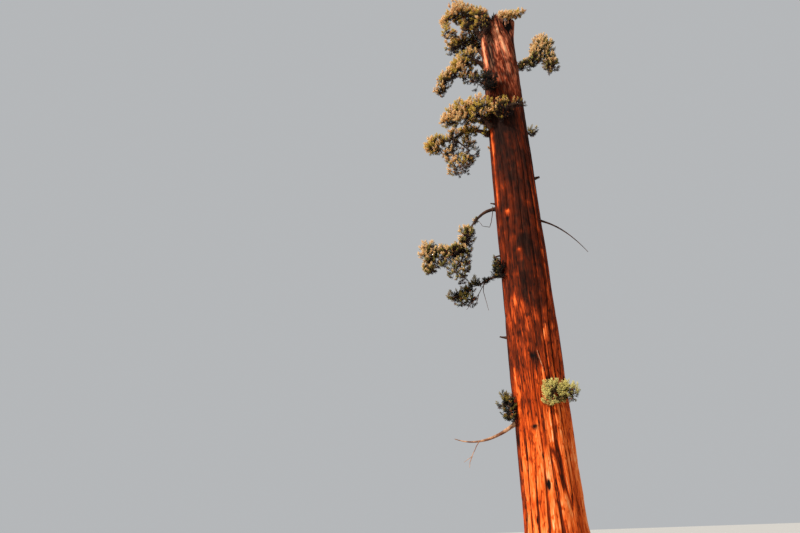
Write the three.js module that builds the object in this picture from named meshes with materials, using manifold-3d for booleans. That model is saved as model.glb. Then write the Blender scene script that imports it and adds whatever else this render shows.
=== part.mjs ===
// A giant sequoia whose top has broken off, as one assembly: a fluted trunk with its root flare and
// splintered crown, its living and dead boughs, the broken snags on its stem, and its clumps of foliage.
// Z is up, the flat cut at ground level is Z = 0 and the tree's axis is the Z axis. X runs to the right
// of a person who faces the tree from the -Y side, where the left of the crown carries most foliage.
// Lengths are millimetres at the modelled scale, which is four fifths of the living tree.
import * as THREE from "three";
import { mergeVertices } from "three/addons/utils/BufferGeometryUtils.js";
import Module from "manifold-3d";

const wasm = await Module();
wasm.setup();

const METRE = 1000;
const GOLDEN_ANGLE = Math.PI * (3 - Math.sqrt(5));
// The clear gap between pieces that touch on the living tree.
const GAP = 0.4;

// The trunk: straight and slowly tapering, with buttresses at its foot and a spiral grain near its top.
// Taper is how many millimetres the radius loses in the first metre, and taperGain how that grows.
const TRUNK = {
  height: 37.55 * METRE,
  radius: 1.7 * METRE,
  taper: 9.5,
  taperGain: 0.11,
  flare: 0.85 * METRE,
  flareHeight: 0.42 * METRE,
  buttresses: 7,
  ridges: 20,
  ridgeDepth: 55,
  rings: 22,
  ringCrowding: 1.45,
  twistStart: 24 * METRE,
  twistGain: 0.011,
};

// The ridges and furrows sway from side to side as they climb. Each wave is given by its size in radians, how
// many times it goes round the trunk, how many radians it turns in a metre of height, and where it starts.
const SWAY = [
  { size: 0.05, round: 2, climb: 0.31, start: 0.4 },
  { size: 0.035, round: 3, climb: -0.47, start: 1.9 },
  { size: 0.02, round: 5, climb: 0.83, start: 3.1 },
];

// The broken top: a crater with a jagged rim that dips towards the right of the viewer, a splinter that
// stands on it, and an ear of the rim that leans out on the right.
const BREAK = {
  crater: 1.2 * METRE,
  jag: 170,
  dip: 0.25 * METRE,
  dipBearing: 300,
  splinter: 0.7 * METRE,
  splinterBearing: 269,
  splinterWidth: 0.02,
  lean: 0.3 * METRE,
  leanBearing: 350,
  leanWidth: 0.04,
};

// The middle of the flat cut lies a little off the axis, so that the axis meets the ground inside one face.
const CUT_MIDDLE = { x: 60, y: 25 };

// The crater's sloping sides need more than one gap of lift to stand clear of what grows in it.
const CRATER_GROWTH = 4;

// Limbs, in metres and degrees. The foot is at a height and a bearing on the trunk (180 is left, 270
// faces -Y and 90 is the far side). The end is at a height, a bearing and a reach from the tree's axis.
// Rise is how far the middle of the limb stands above a straight line, and thick is how thick the limb is
// at its foot and at its end.
const BOUGHS = {
  bough_top_left: { foot: [36.1, 200], end: [37.4, 200, 1.85], rise: -0.15, thick: [0.4, 0.26] },
  bough_upper_left: { foot: [35.0, 166], end: [36.2, 166, 1.75], rise: -0.12, thick: [0.34, 0.22] },
  bough_middle_left: { foot: [33.4, 190], end: [34.2, 192, 1.85], rise: 0.05, thick: [0.36, 0.24] },
  bough_lower_left: { foot: [27.6, 208], end: [28.4, 212, 1.95], rise: -0.1, thick: [0.42, 0.28] },
  bough_hanging_left: { foot: [27.4, 172], end: [28.5, 170, 3.3], rise: 0.35, thick: [0.34, 0.18] },
  bough_arching_left: { foot: [21.35, 180], end: [20.5, 188, 2.95], rise: 0.42, thick: [0.26, 0.15] },
  bough_slim_left: { foot: [16.5, 178], end: [16.35, 170, 3.0], rise: 0.22, thick: [0.2, 0.1] },
  bough_bare_low_left: { foot: [7.6, 187], end: [6.3, 191, 5.25], rise: -0.68, thick: [0.26, 0.04] },
  bough_bare_right: { foot: [20.4, 6], end: [17.85, 10, 4.25], rise: 0.55, thick: [0.15, 0.03] },
  bough_top_back: { foot: [34.9, 98], end: [35.9, 98, 1.95], rise: -0.1, thick: [0.36, 0.24] },
  bough_upper_back: { foot: [31.6, 76], end: [32.4, 76, 2.0], rise: -0.08, thick: [0.34, 0.22] },
  bough_middle_back: { foot: [28.2, 104], end: [28.8, 104, 2.1], rise: -0.05, thick: [0.34, 0.22] },
  bough_lower_back: { foot: [24.3, 86], end: [24.4, 86, 2.3], rise: 0.14, thick: [0.3, 0.18] },
};
const BOUGH_SIDES = 6;
const BOUGH_STEPS = 5;
// A limb's line starts this share of the trunk's radius from its axis, and bends most this far along.
const LIMB_START = 0.55;
const LIMB_BEND = 0.55;

// Short broken limbs, given like the boughs.
const SNAGS = {
  snag_left_high: { foot: [21.7, 183], end: [21.95, 183, 1.75], thick: [0.16, 0.07] },
  snag_left_middle: { foot: [17.95, 190], end: [17.8, 190, 1.98], rise: 0.02, thick: [0.18, 0.03] },
  snag_left_low: { foot: [12.4, 184], end: [12.45, 184, 2.02], rise: -0.08, thick: [0.22, 0.08] },
  snag_right_high: { foot: [23.3, 356], end: [23.45, 356, 1.75], thick: [0.2, 0.12] },
  snag_back_high: { foot: [21.25, 70], end: [21.55, 70, 1.95], rise: -0.04, thick: [0.22, 0.08] },
  snag_back_low: { foot: [12.95, 118], end: [12.85, 118, 2.1], rise: 0.03, thick: [0.22, 0.06] },
};
const SNAG_SIDES = 6;
const SNAG_STEPS = 2;

// Clumps of foliage. Each lobe is an egg-shaped space: its middle [x, y, z] and its half sizes, in metres.
// An open lobe is sparse, and the others are dense. A clump grows from the tip of its bough or, where root
// is given instead, out of the trunk at [height, bearing], or at a place [x, y] in the crater. Each lobe
// carries on from the one before it, or from the one that after names.
const CLUMPS = {
  foliage_top_left: {
    bough: "bough_top_left",
    lobes: [
      { at: [-1.75, -0.8, 38.4], half: [0.95, 0.85, 1.0] },
      { at: [-2.65, -0.95, 38.97], half: [0.98, 0.9, 1.1] },
      { at: [-3.75, -0.95, 37.95], half: [0.5, 0.5, 0.55] },
      { at: [-3.75, -0.95, 36.85], half: [0.48, 0.5, 0.75], open: true },
      { at: [-0.9, -1.5, 37.75], half: [0.7, 0.55, 0.75], after: 0 },
      { at: [-2.1, -0.85, 37.05], half: [0.68, 0.5, 0.6], after: 0 },
    ],
  },
  foliage_upper_left: {
    bough: "bough_upper_left",
    lobes: [
      { at: [-2.15, 0.75, 37.15], half: [0.98, 0.8, 0.95] },
      { at: [-3.25, 0.6, 36.85], half: [0.88, 0.75, 0.76] },
    ],
  },
  foliage_middle_left: {
    bough: "bough_middle_left",
    lobes: [
      { at: [-2.2, -0.5, 34.5], half: [0.95, 0.75, 0.72] },
      { at: [-3.1, -0.6, 33.6], half: [0.84, 0.75, 0.8] },
      { at: [-4.05, -0.7, 32.6], half: [0.72, 0.65, 0.7] },
      { at: [-4.6, -0.75, 31.55], half: [0.42, 0.42, 0.55] },
      { at: [-2.4, -0.35, 32.9], half: [0.78, 0.65, 0.78], after: 1, open: true },
    ],
  },
  foliage_lower_left: {
    bough: "bough_lower_left",
    lobes: [
      { at: [-1.85, -1.35, 28.98], half: [1.08, 0.85, 1.12] },
      { at: [-3.15, -1.25, 28.9], half: [1.05, 0.9, 1.1] },
      { at: [-4.15, -1.05, 28.85], half: [0.62, 0.6, 0.62] },
    ],
  },
  foliage_hanging_left: {
    bough: "bough_hanging_left",
    lobes: [
      { at: [-3.95, 0.6, 28.15], half: [1.02, 0.7, 0.72] },
      { at: [-5.4, 0.3, 27.65], half: [0.86, 0.75, 0.82] },
      { at: [-4.15, 0.5, 26.9], half: [0.7, 0.7, 0.75], after: 0 },
      { at: [-3.65, 0.4, 25.6], half: [0.95, 0.8, 0.8] },
      { at: [-2.9, 0.75, 27.0], half: [0.62, 0.62, 1.1], after: 0, open: true },
    ],
  },
  foliage_arching_left: {
    bough: "bough_arching_left",
    lobes: [
      { at: [-3.45, -0.5, 19.75], half: [0.64, 0.6, 0.7] },
      { at: [-3.8, -0.5, 18.6], half: [0.62, 0.6, 0.66] },
      { at: [-4.75, -0.6, 18.4], half: [0.84, 0.75, 0.68] },
      { at: [-6.1, -0.8, 18.6], half: [0.72, 0.7, 0.82] },
      { at: [-6.1, -0.8, 17.45], half: [0.52, 0.5, 0.6] },
      { at: [-4.15, -0.4, 17.25], half: [0.82, 0.7, 0.88], after: 1, open: true },
    ],
  },
  foliage_slim_left: {
    bough: "bough_slim_left",
    lobes: [
      { at: [-3.3, 0.6, 16.5], half: [0.5, 0.45, 0.45], open: true },
      { at: [-4.3, 0.9, 15.9], half: [0.92, 0.65, 0.56], open: true },
    ],
  },
  foliage_right: {
    root: [33.3, 8],
    thick: 0.3,
    lobes: [
      { at: [1.8, 0.25, 33.5], half: [0.68, 0.55, 0.5] },
      { at: [2.65, 0.35, 33.95], half: [0.62, 0.5, 0.55] },
      { at: [3.3, 0.5, 35.25], half: [0.95, 0.85, 0.95] },
      { at: [3.75, 0.6, 33.6], half: [0.66, 0.65, 0.98] },
    ],
  },
  foliage_broken_top: {
    crater: [0.3, -0.2],
    thick: 0.24,
    lobes: [
      { at: [0.72, -0.6, 37.6], half: [0.5, 0.45, 0.42] },
      { at: [1.25, -0.6, 37.75], half: [0.6, 0.48, 0.42] },
      { at: [2.1, -0.35, 38.1], half: [0.3, 0.3, 0.34], open: true },
    ],
  },
  foliage_front_upper: {
    root: [30.6, 238],
    thick: 0.22,
    lobes: [{ at: [-1.08, -1.9, 31.05], half: [0.76, 0.65, 0.8] }],
  },
  foliage_front_band: {
    root: [27.9, 268],
    thick: 0.24,
    lobes: [
      { at: [-0.22, -2.05, 28.4], half: [0.8, 0.6, 0.76] },
      { at: [0.85, -1.85, 28.55], half: [0.64, 0.45, 0.42] },
    ],
  },
  foliage_right_sprig: {
    root: [27.0, 2],
    thick: 0.1,
    lobes: [{ at: [1.72, 0.05, 27.33], half: [0.32, 0.32, 0.52], open: true }],
  },
  foliage_left_sprig: {
    root: [27.5, 198],
    thick: 0.1,
    lobes: [{ at: [-1.58, -0.55, 27.6], half: [0.27, 0.3, 0.52], open: true }],
  },
  foliage_left_collar: {
    root: [16.85, 196],
    thick: 0.16,
    lobes: [{ at: [-1.82, -0.55, 16.95], half: [0.42, 0.45, 0.8] }],
  },
  foliage_low_right: {
    root: [8.2, 296],
    thick: 0.22,
    lobes: [
      { at: [0.8, -2.05, 8.5], half: [0.74, 0.6, 0.74] },
      { at: [1.65, -1.65, 8.48], half: [0.58, 0.52, 0.66] },
    ],
  },
  foliage_low_left: {
    root: [8.0, 190],
    thick: 0.18,
    lobes: [{ at: [-2.1, -0.4, 8.3], half: [0.55, 0.52, 0.95] }],
  },
  foliage_top_back: {
    bough: "bough_top_back",
    lobes: [
      { at: [-0.25, 2.2, 36.6], half: [0.95, 0.85, 0.8] },
      { at: [-0.35, 3.3, 36.3], half: [0.8, 0.8, 0.75] },
    ],
  },
  foliage_upper_back: {
    bough: "bough_upper_back",
    lobes: [
      { at: [0.45, 2.4, 33.0], half: [0.9, 0.85, 0.8] },
      { at: [0.6, 3.6, 32.6], half: [0.8, 0.75, 0.72] },
    ],
  },
  foliage_middle_back: {
    bough: "bough_middle_back",
    lobes: [
      { at: [-0.5, 2.6, 29.3], half: [0.9, 0.85, 0.8] },
      { at: [-0.7, 3.8, 28.9], half: [0.85, 0.75, 0.75] },
    ],
  },
  foliage_lower_back: {
    bough: "bough_lower_back",
    lobes: [
      { at: [0.15, 2.95, 24.5], half: [0.85, 0.75, 0.72] },
      { at: [0.2, 3.85, 23.6], half: [0.7, 0.65, 0.75] },
    ],
  },
  foliage_low_back: {
    root: [15.9, 78],
    thick: 0.18,
    lobes: [{ at: [0.4, 2.15, 16.25], half: [0.62, 0.58, 0.6] }],
  },
};

// How a clump branches: one twig for so much of a lobe's surface, spread evenly round it, and a tuft of
// sprays at the end of each twig. Lengths are shares of the way from a lobe's middle to its surface. A
// dense lobe has a heart, a smaller rough ball that its sprays stand out of.
const TWIG_AREA = 1.95 * METRE * METRE;
const FEWEST_TWIGS = 3;
const TWIG_REACH = { dense: 0.52, open: 0.6 };
const TWIG_SCATTER = 0.1;
const TWIG_THICK = 66;
const TWIG_TIP = 40;
const LEAD_ROOT = 0.3;
const SIDE_ROOT = 0.36;
const SIDE_SPRAYS = 1;
const SIDE_SPLAY = 0.85;
const UPTURN = 0.3;
const HEART = 0.6;
const HEART_ROUGHNESS = 0.16;
const STEM_SIDES = 4;
const STEM_THINNING = 0.74;
const STEM_TIP = 60;
const STEM_LEAD = 0.2 * METRE;
const STEM_SHARE = 0.92;
const STEM_IN_BARK = 0.25 * METRE;
const STEM_IN_CRATER = 0.1 * METRE;
const LIMB_CLEARANCE = 40;
// A spray is left out where its tip would be buried in a neighbouring lobe or pass its own lobe's surface.
const BURIED = 0.85;
const OUTERMOST = 1.08;

// A spray of needles is a toothed blade that is thick in the middle: its outline as [across, along] in
// shares of its width and length, from the root round to the root.
const SIDE_LENGTH = 0.85;
const SPRAY_WIDTH = 1;
const SPRAY_DEPTH = 0.4;
const SPRAY_MIDDLE = 0.55;
const SPRAY_OUTLINE = [
  [0, 0],
  [0.5, 0.78],
  [0.18, 0.76],
  [0, 1],
  [-0.18, 0.76],
  [-0.5, 0.78],
];

const bark = new THREE.MeshStandardMaterial({ color: 0xa4502a, roughness: 0.95, metalness: 0 });
const limbBark = new THREE.MeshStandardMaterial({ color: 0x5a4234, roughness: 0.9, metalness: 0 });
const needles = new THREE.MeshStandardMaterial({ color: 0x7a7434, roughness: 0.8, metalness: 0 });

const radians = (degrees) => (degrees * Math.PI) / 180;
const vector = (x, y, z) => new THREE.Vector3(x, y, z);
const UP = vector(0, 0, 1);
const inMetres = ([x, y, z]) => vector(x * METRE, y * METRE, z * METRE);

// The point at a height, a bearing in degrees and a distance from the tree's axis.
function onBearing(height, bearing, distance) {
  const angle = radians(bearing);
  return vector(distance * Math.cos(angle), distance * Math.sin(angle), height);
}

// A number from 0 to 1 that depends only on the seed and the place in the rule.
function scatter(seed, place) {
  const wave = Math.sin(seed * 127.1 + place * 311.7) * 43758.5453;
  return wave - Math.floor(wave);
}

// How far the spiral grain has turned at a height, in radians.
function grainTurn(height) {
  const above = Math.max(0, height - TRUNK.twistStart) / METRE;
  return 0.5 * TRUNK.twistGain * above * above;
}

// How far a furrow has swayed at a height, in radians. Grain is the angle that it would have without that.
function sway(grain, height) {
  const waves = SWAY.map(({ size, round, climb, start }) => {
    return size * Math.sin(round * grain + (climb * height) / METRE + start);
  });
  return waves.reduce((total, wave) => total + wave);
}

// The trunk's radius where the ridge or furrow that belongs to an angle of the grain stands.
function barkRadius(height, angle, grain) {
  const metres = height / METRE;
  const stem = TRUNK.radius - TRUNK.taper * metres - TRUNK.taperGain * metres * metres;
  const lobes = 0.78 + 0.22 * Math.cos(TRUNK.buttresses * angle + 0.7) + 0.12 * Math.cos(3 * angle + 2);
  const foot = TRUNK.flare * lobes * Math.exp(-height / TRUNK.flareHeight);
  const ridge = TRUNK.ridgeDepth * (0.75 + 0.25 * Math.cos(3 * grain + 1)) * Math.cos(TRUNK.ridges * grain);
  return stem + foot + ridge;
}

function trunkRadius(height, angle) {
  const straight = angle + grainTurn(height);
  return barkRadius(height, angle, straight + sway(straight, height));
}

// A hump of height 1 round one bearing of the trunk.
function hump(angle, bearing, width) {
  return Math.exp((Math.cos(angle - radians(bearing)) - 1) / width);
}

function rimHeight(angle) {
  const jag = Math.cos(3 * angle + 0.6) + 0.7 * Math.cos(7 * angle + 2) + 0.9 * Math.cos(13 * angle);
  const dip = BREAK.dip * (1 + Math.cos(angle - radians(BREAK.dipBearing)));
  const splinter = BREAK.splinter * hump(angle, BREAK.splinterBearing, BREAK.splinterWidth);
  return TRUNK.height + BREAK.jag * jag - dip + splinter;
}

// A geometry as a solid, with only its shared corner points.
function solidOf(geometry) {
  geometry.deleteAttribute("normal");
  geometry.deleteAttribute("uv");
  const merged = mergeVertices(geometry, 1e-3);
  return new wasm.Manifold(
    new wasm.Mesh({
      numProp: 3,
      vertProperties: new Float32Array(merged.attributes.position.array),
      triVerts: new Uint32Array(merged.index.array),
    }),
  );
}

function meshOf(name, solid, material) {
  const made = solid.getMesh();
  const geometry = new THREE.BufferGeometry();
  geometry.setAttribute("position", new THREE.BufferAttribute(made.vertProperties, made.numProp));
  geometry.setIndex(new THREE.BufferAttribute(made.triVerts, 1));
  const mesh = new THREE.Mesh(geometry, material);
  mesh.name = name;
  return mesh;
}

// The trunk, or the trunk grown on every side by a gap so that it can cut its neighbours clear.
function trunkSolid(grown = 0) {
  const geometry = new THREE.CylinderGeometry(1, 1, 1, TRUNK.ridges * 2, TRUNK.rings);
  const corners = geometry.attributes.position;
  for (let i = 0; i < corners.count; i += 1) {
    const share = corners.getY(i) + 0.5;
    const onAxis = Math.hypot(corners.getX(i), corners.getZ(i)) < 0.5;
    if (onAxis && share === 0) {
      corners.setXYZ(i, CUT_MIDDLE.x, CUT_MIDDLE.y, -grown);
      continue;
    }
    if (onAxis) {
      corners.setXYZ(i, 0, 0, TRUNK.height - BREAK.crater + CRATER_GROWTH * grown);
      continue;
    }
    const spaced = TRUNK.height * Math.pow(share, TRUNK.ringCrowding);
    const grain = Math.atan2(corners.getX(i), corners.getZ(i));
    const angle = grain - grainTurn(spaced) - sway(grain, spaced);
    const atTop = share === 1;
    const lean = atTop ? BREAK.lean * hump(angle, BREAK.leanBearing, BREAK.leanWidth) : 0;
    const radius = barkRadius(spaced, angle, grain) + lean + grown;
    const level = atTop ? rimHeight(angle) + CRATER_GROWTH * grown : spaced - (share === 0 ? grown : 0);
    corners.setXYZ(i, radius * Math.cos(angle), radius * Math.sin(angle), level);
  }
  return solidOf(geometry);
}

// A tapering tube with flat ends through a few points, with a radius at each.
function tube(points, radii, sides) {
  const steps = points.length - 1;
  const geometry = new THREE.CylinderGeometry(1, 1, 1, sides, steps);
  const headings = points.map((_, i) => {
    const from = i === steps ? points[i - 1] : points[i === 0 ? 0 : i - 1];
    const to = i === 0 ? points[1] : points[i === steps ? i : i + 1];
    return to.clone().sub(from).normalize();
  });
  const overall = points[steps].clone().sub(points[0]).normalize();
  const aside = Math.abs(overall.z) > 0.8 ? vector(1, 0.2, 0) : vector(0, 0, 1);
  const corners = geometry.attributes.position;
  for (let i = 0; i < corners.count; i += 1) {
    const ring = Math.round((corners.getY(i) + 0.5) * steps);
    const across = aside.clone().cross(headings[ring]).normalize();
    const upward = across.clone().cross(headings[ring]);
    const place = points[ring]
      .clone()
      .addScaledVector(across, corners.getX(i) * radii[ring])
      .addScaledVector(upward, corners.getZ(i) * radii[ring]);
    corners.setXYZ(i, place.x, place.y, place.z);
  }
  return solidOf(geometry);
}

// A spray of needles from its root along a unit heading, with its teeth spread towards across.
function spray(root, heading, across, length) {
  const width = SPRAY_WIDTH * length;
  const outward = across.clone().cross(heading).normalize();
  const middle = root.clone().addScaledVector(heading, SPRAY_MIDDLE * length);
  const rim = SPRAY_OUTLINE.map(([side, along]) =>
    root.clone().addScaledVector(heading, along * length).addScaledVector(across, side * width),
  );
  const halfDepth = (SPRAY_DEPTH * length) / 2;
  const poles = [halfDepth, -halfDepth].map((depth) => middle.clone().addScaledVector(outward, depth));
  const geometry = new THREE.BufferGeometry().setFromPoints([...rim, ...poles]);
  const front = rim.length;
  const back = rim.length + 1;
  const faces = rim.flatMap((_, i) => {
    const next = (i + 1) % rim.length;
    return [next, i, back, i, next, front];
  });
  return solidOf(geometry.setIndex(faces));
}

// The line of a limb, from inside the trunk to its end.
function limbLine({ foot, end, rise = 0 }, steps) {
  const start = onBearing(foot[0] * METRE, foot[1], TRUNK.radius * LIMB_START);
  const tip = onBearing(end[0] * METRE, end[1], end[2] * METRE);
  const middle = start.clone().lerp(tip, LIMB_BEND);
  middle.z += 2 * rise * METRE;
  return new THREE.QuadraticBezierCurve3(start, middle, tip).getPoints(steps);
}

function limbRadii({ thick: [atFoot, atEnd] }, steps) {
  const radiusAt = (share) => (THREE.MathUtils.lerp(atFoot, atEnd, share) * METRE) / 2;
  return Array.from({ length: steps + 1 }, (_, i) => radiusAt(i / steps));
}

// Each limb's points and radii under its name, with the number of its sides.
const limbLines = {};
for (const [limbs, steps, sides] of [
  [BOUGHS, BOUGH_STEPS, BOUGH_SIDES],
  [SNAGS, SNAG_STEPS, SNAG_SIDES],
]) {
  for (const [name, limb] of Object.entries(limbs)) {
    limbLines[name] = { points: limbLine(limb, steps), radii: limbRadii(limb, steps), sides };
  }
}

// The limbs grown on every side, to cut the hearts of the foliage clear of them.
const limbCutters = [];
for (const { points, radii, sides } of Object.values(limbLines)) {
  const heading = points.at(-1).clone().sub(points.at(-2)).normalize();
  const longer = [...points, points.at(-1).clone().addScaledVector(heading, LIMB_CLEARANCE)];
  const wider = [...radii, radii.at(-1)].map((radius) => radius + LIMB_CLEARANCE);
  limbCutters.push(tube(longer, wider, sides));
}

// True where a ball stays clear of the trunk and of every limb.
function clearOfLimbs(point, ball) {
  const angle = Math.atan2(point.y, point.x);
  const besideTrunk = Math.hypot(point.x, point.y) < trunkRadius(point.z, angle) + ball;
  if (besideTrunk && point.z < rimHeight(angle) + ball) return false;
  for (const { points, radii } of Object.values(limbLines)) {
    for (let i = 1; i < points.length; i += 1) {
      const stretch = new THREE.Line3(points[i - 1], points[i]);
      const near = stretch.closestPointToPoint(point, true, new THREE.Vector3());
      if (near.distanceTo(point) < radii[i - 1] + ball) return false;
    }
  }
  return true;
}

function lineIsClear(from, to, ball) {
  return [0.15, 0.4, 0.6, 0.8, 1].every((share) => clearOfLimbs(from.clone().lerp(to, share), ball));
}

function craterFloor([x, y]) {
  return vector(x * METRE, y * METRE, TRUNK.height - BREAK.crater - STEM_IN_CRATER);
}

function insideBark([height, bearing]) {
  const surface = trunkRadius(height * METRE, radians(bearing));
  return onBearing(height * METRE, bearing, surface - STEM_IN_BARK);
}

// Where a clump's stem starts, the way it points there, and its radius.
function clumpRoot(clump) {
  if (clump.bough) {
    const { points, radii } = limbLines[clump.bough];
    const heading = points.at(-1).clone().sub(points.at(-2)).normalize();
    const start = points.at(-1).clone().addScaledVector(heading, GAP);
    return { start, heading, thick: radii.at(-1) * STEM_SHARE };
  }
  const start = clump.crater ? craterFloor(clump.crater) : insideBark(clump.root);
  const heading = inMetres(clump.lobes[0].at).sub(start).normalize();
  return { start, heading, thick: (clump.thick * METRE) / 2 };
}

// The lobes of a clump with the stem that runs to each of them: its points and its radii.
function lobesOf(clump) {
  const { start, heading, thick } = clumpRoot(clump);
  const lobes = [];
  for (const [i, { at, half, after, open }] of clump.lobes.entries()) {
    const middle = inMetres(at);
    const before = i === 0 ? null : lobes[after ?? i - 1];
    const lead = start.clone().addScaledVector(heading, STEM_LEAD);
    const points = before ? [before.middle, middle] : [start, lead, middle];
    const first = before ? before.radii.at(-1) : thick;
    const last = Math.max(STEM_TIP / 2, first * STEM_THINNING);
    const radii = before ? [first, last] : [first, first, last];
    lobes.push({ middle, half: inMetres(half), points, radii, dense: !open });
  }
  return lobes;
}

// The twigs of a lobe, even on all sides. Each starts on the stem, further out for one that points onward.
function twigsOf(lobe, seed) {
  const meanHalf = Math.cbrt(lobe.half.x * lobe.half.y * lobe.half.z);
  const count = Math.max(FEWEST_TWIGS, Math.round((4 * Math.PI * meanHalf * meanHalf) / TWIG_AREA));
  const entry = lobe.points.at(-2);
  const onward = lobe.middle.clone().sub(entry).normalize();
  const firstTurn = scatter(seed, 1) * 2 * Math.PI;
  return Array.from({ length: count }, (_, i) => {
    const up = 1 - (2 * (i + 0.5)) / count;
    const flat = Math.sqrt(1 - up * up);
    const turn = firstTurn + i * GOLDEN_ANGLE;
    const outward = vector(flat * Math.cos(turn), flat * Math.sin(turn), up);
    const share = lobe.dense ? TWIG_REACH.dense : TWIG_REACH.open;
    const reach = share * (1 + TWIG_SCATTER * (2 * scatter(seed, 10 + i) - 1));
    const end = outward.clone().multiply(lobe.half).multiplyScalar(reach).add(lobe.middle);
    const root = entry.clone().lerp(lobe.middle, 0.75 + 0.25 * outward.dot(onward));
    return { root, end, outward, number: i };
  });
}

// The tuft at the end of a twig: a spray that leads on to the lobe's surface, and others beside it that
// splay outwards. All of them turn up a little.
function spraysOf(twig, lobe, seed) {
  const heading = twig.end.clone().sub(twig.root).normalize();
  const sideways = Math.abs(heading.z) > 0.9 ? vector(1, 0, 0) : UP.clone().cross(heading).normalize();
  const toSurface = twig.outward.clone().multiply(lobe.half);
  const alongTwig = (share) => lobe.middle.clone().addScaledVector(toSurface, share);
  const roll = scatter(seed, 100 + twig.number) * Math.PI;
  const bladeAcross = (way, turn) => {
    const across = sideways.clone().applyAxisAngle(heading, turn);
    return across.addScaledVector(way, -across.dot(way)).normalize();
  };
  const leadRoot = alongTwig(LEAD_ROOT);
  const lead = alongTwig(1).sub(leadRoot);
  const length = lead.length();
  const way = lead.normalize();
  const found = [{ root: leadRoot, way, across: bladeAcross(way, roll), length }];
  for (let k = 0; k < SIDE_SPRAYS; k += 1) {
    const turn = roll + Math.PI * (k + 0.3 + 0.4 * scatter(seed, 200 + k));
    const aside = sideways.clone().applyAxisAngle(heading, turn);
    const sideWay = heading.clone().multiplyScalar(Math.cos(SIDE_SPLAY));
    sideWay.addScaledVector(aside, Math.sin(SIDE_SPLAY)).addScaledVector(UP, UPTURN).normalize();
    const sideLength = SIDE_LENGTH * Math.min(lobe.half.x, lobe.half.y, lobe.half.z);
    const across = bladeAcross(sideWay, turn);
    found.push({ root: alongTwig(SIDE_ROOT), way: sideWay, across, length: sideLength });
  }
  return found;
}

// The dense heart of a lobe, as a rough ball of twenty faces.
function heartOf(lobe, seed) {
  const geometry = new THREE.IcosahedronGeometry(1, 0);
  geometry.deleteAttribute("normal");
  geometry.deleteAttribute("uv");
  const ball = mergeVertices(geometry, 1e-3);
  const corners = ball.attributes.position;
  for (let i = 0; i < corners.count; i += 1) {
    const reach = HEART * (1 + HEART_ROUGHNESS * (2 * scatter(seed, 300 + i) - 1));
    const corner = vector(corners.getX(i), corners.getY(i), corners.getZ(i)).applyAxisAngle(UP, seed);
    corner.multiply(lobe.half).multiplyScalar(reach).add(lobe.middle);
    corners.setXYZ(i, corner.x, corner.y, corner.z);
  }
  return solidOf(ball);
}

// How far out of a lobe a point is, where 1 is on its surface.
function shareOut(point, { middle, half }) {
  return point.clone().sub(middle).divide(half).length();
}

// A clump as one solid: its stem from lobe to lobe, its twigs, and the sprays fused on to them.
function clumpSolid(clump, seed, trunkCutter) {
  const lobes = lobesOf(clump);
  const pieces = [];
  for (const [i, lobe] of lobes.entries()) {
    const lobeSeed = seed + i * 0.37;
    pieces.push(tube(lobe.points, lobe.radii, STEM_SIDES));
    if (lobe.dense) {
      pieces.push(limbCutters.reduce((heart, cutter) => heart.subtract(cutter), heartOf(lobe, lobeSeed)));
    }
    for (const twig of twigsOf(lobe, lobeSeed)) {
      if (!lineIsClear(twig.root, twig.end, LIMB_CLEARANCE)) continue;
      pieces.push(tube([twig.root, twig.end], [TWIG_THICK / 2, TWIG_TIP / 2], 3));
      for (const { root, way, across, length } of spraysOf(twig, lobe, lobeSeed)) {
        const tip = root.clone().addScaledVector(way, length);
        const clear = lineIsClear(root, tip, (SPRAY_WIDTH * length) / 2 + LIMB_CLEARANCE);
        const buried = lobes.some((other) => other !== lobe && shareOut(tip, other) < BURIED);
        if (!clear || buried || shareOut(tip, lobe) > OUTERMOST) continue;
        pieces.push(spray(root, way, across, length));
      }
    }
  }
  let joined = pieces.reduce((whole, piece) => whole.add(piece));
  if (!clump.bough) joined = joined.subtract(trunkCutter);
  return largestOf(joined);
}

function largestOf(solid) {
  return solid.decompose().reduce((most, piece) => (piece.volume() > most.volume() ? piece : most));
}

const tree = new THREE.Group();
tree.add(meshOf("trunk", trunkSolid(), bark));

const grownTrunk = trunkSolid(GAP);
for (const [name, { points, radii, sides }] of Object.entries(limbLines)) {
  tree.add(meshOf(name, largestOf(tube(points, radii, sides).subtract(grownTrunk)), limbBark));
}
for (const [number, [name, clump]] of Object.entries(CLUMPS).entries()) {
  tree.add(meshOf(name, clumpSolid(clump, number + 1, grownTrunk), needles));
}

export default tree;
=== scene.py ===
"""A giant sequoia whose top has broken off, dressed for rendering.

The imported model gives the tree's solids. This script puts furrowed bark on its trunk and limbs, grows its clumps of
foliage on by the rule that the solids follow, carried to finer twigs and sprays of needles, and sets up a plain
studio. Lengths are metres, Z is up, and X runs to the right of a person who faces the tree from the -Y side.
"""
import logging
import math
from dataclasses import dataclass, field
from enum import Enum, IntEnum
from typing import Any, Iterable, Mapping, Sequence

import bpy
import numpy as np
from mathutils import Matrix


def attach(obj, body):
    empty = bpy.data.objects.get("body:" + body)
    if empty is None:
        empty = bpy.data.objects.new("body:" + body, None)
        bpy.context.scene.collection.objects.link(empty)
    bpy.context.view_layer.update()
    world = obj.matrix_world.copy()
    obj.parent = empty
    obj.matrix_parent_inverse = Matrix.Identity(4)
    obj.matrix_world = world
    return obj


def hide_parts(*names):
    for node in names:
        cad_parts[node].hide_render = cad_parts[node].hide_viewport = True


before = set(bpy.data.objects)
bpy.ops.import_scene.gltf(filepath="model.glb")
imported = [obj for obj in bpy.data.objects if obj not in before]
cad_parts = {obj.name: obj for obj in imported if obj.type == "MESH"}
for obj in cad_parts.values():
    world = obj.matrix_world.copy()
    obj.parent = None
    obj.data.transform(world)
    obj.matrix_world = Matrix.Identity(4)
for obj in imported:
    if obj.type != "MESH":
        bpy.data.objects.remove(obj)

log = logging.getLogger("sequoia")

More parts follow.
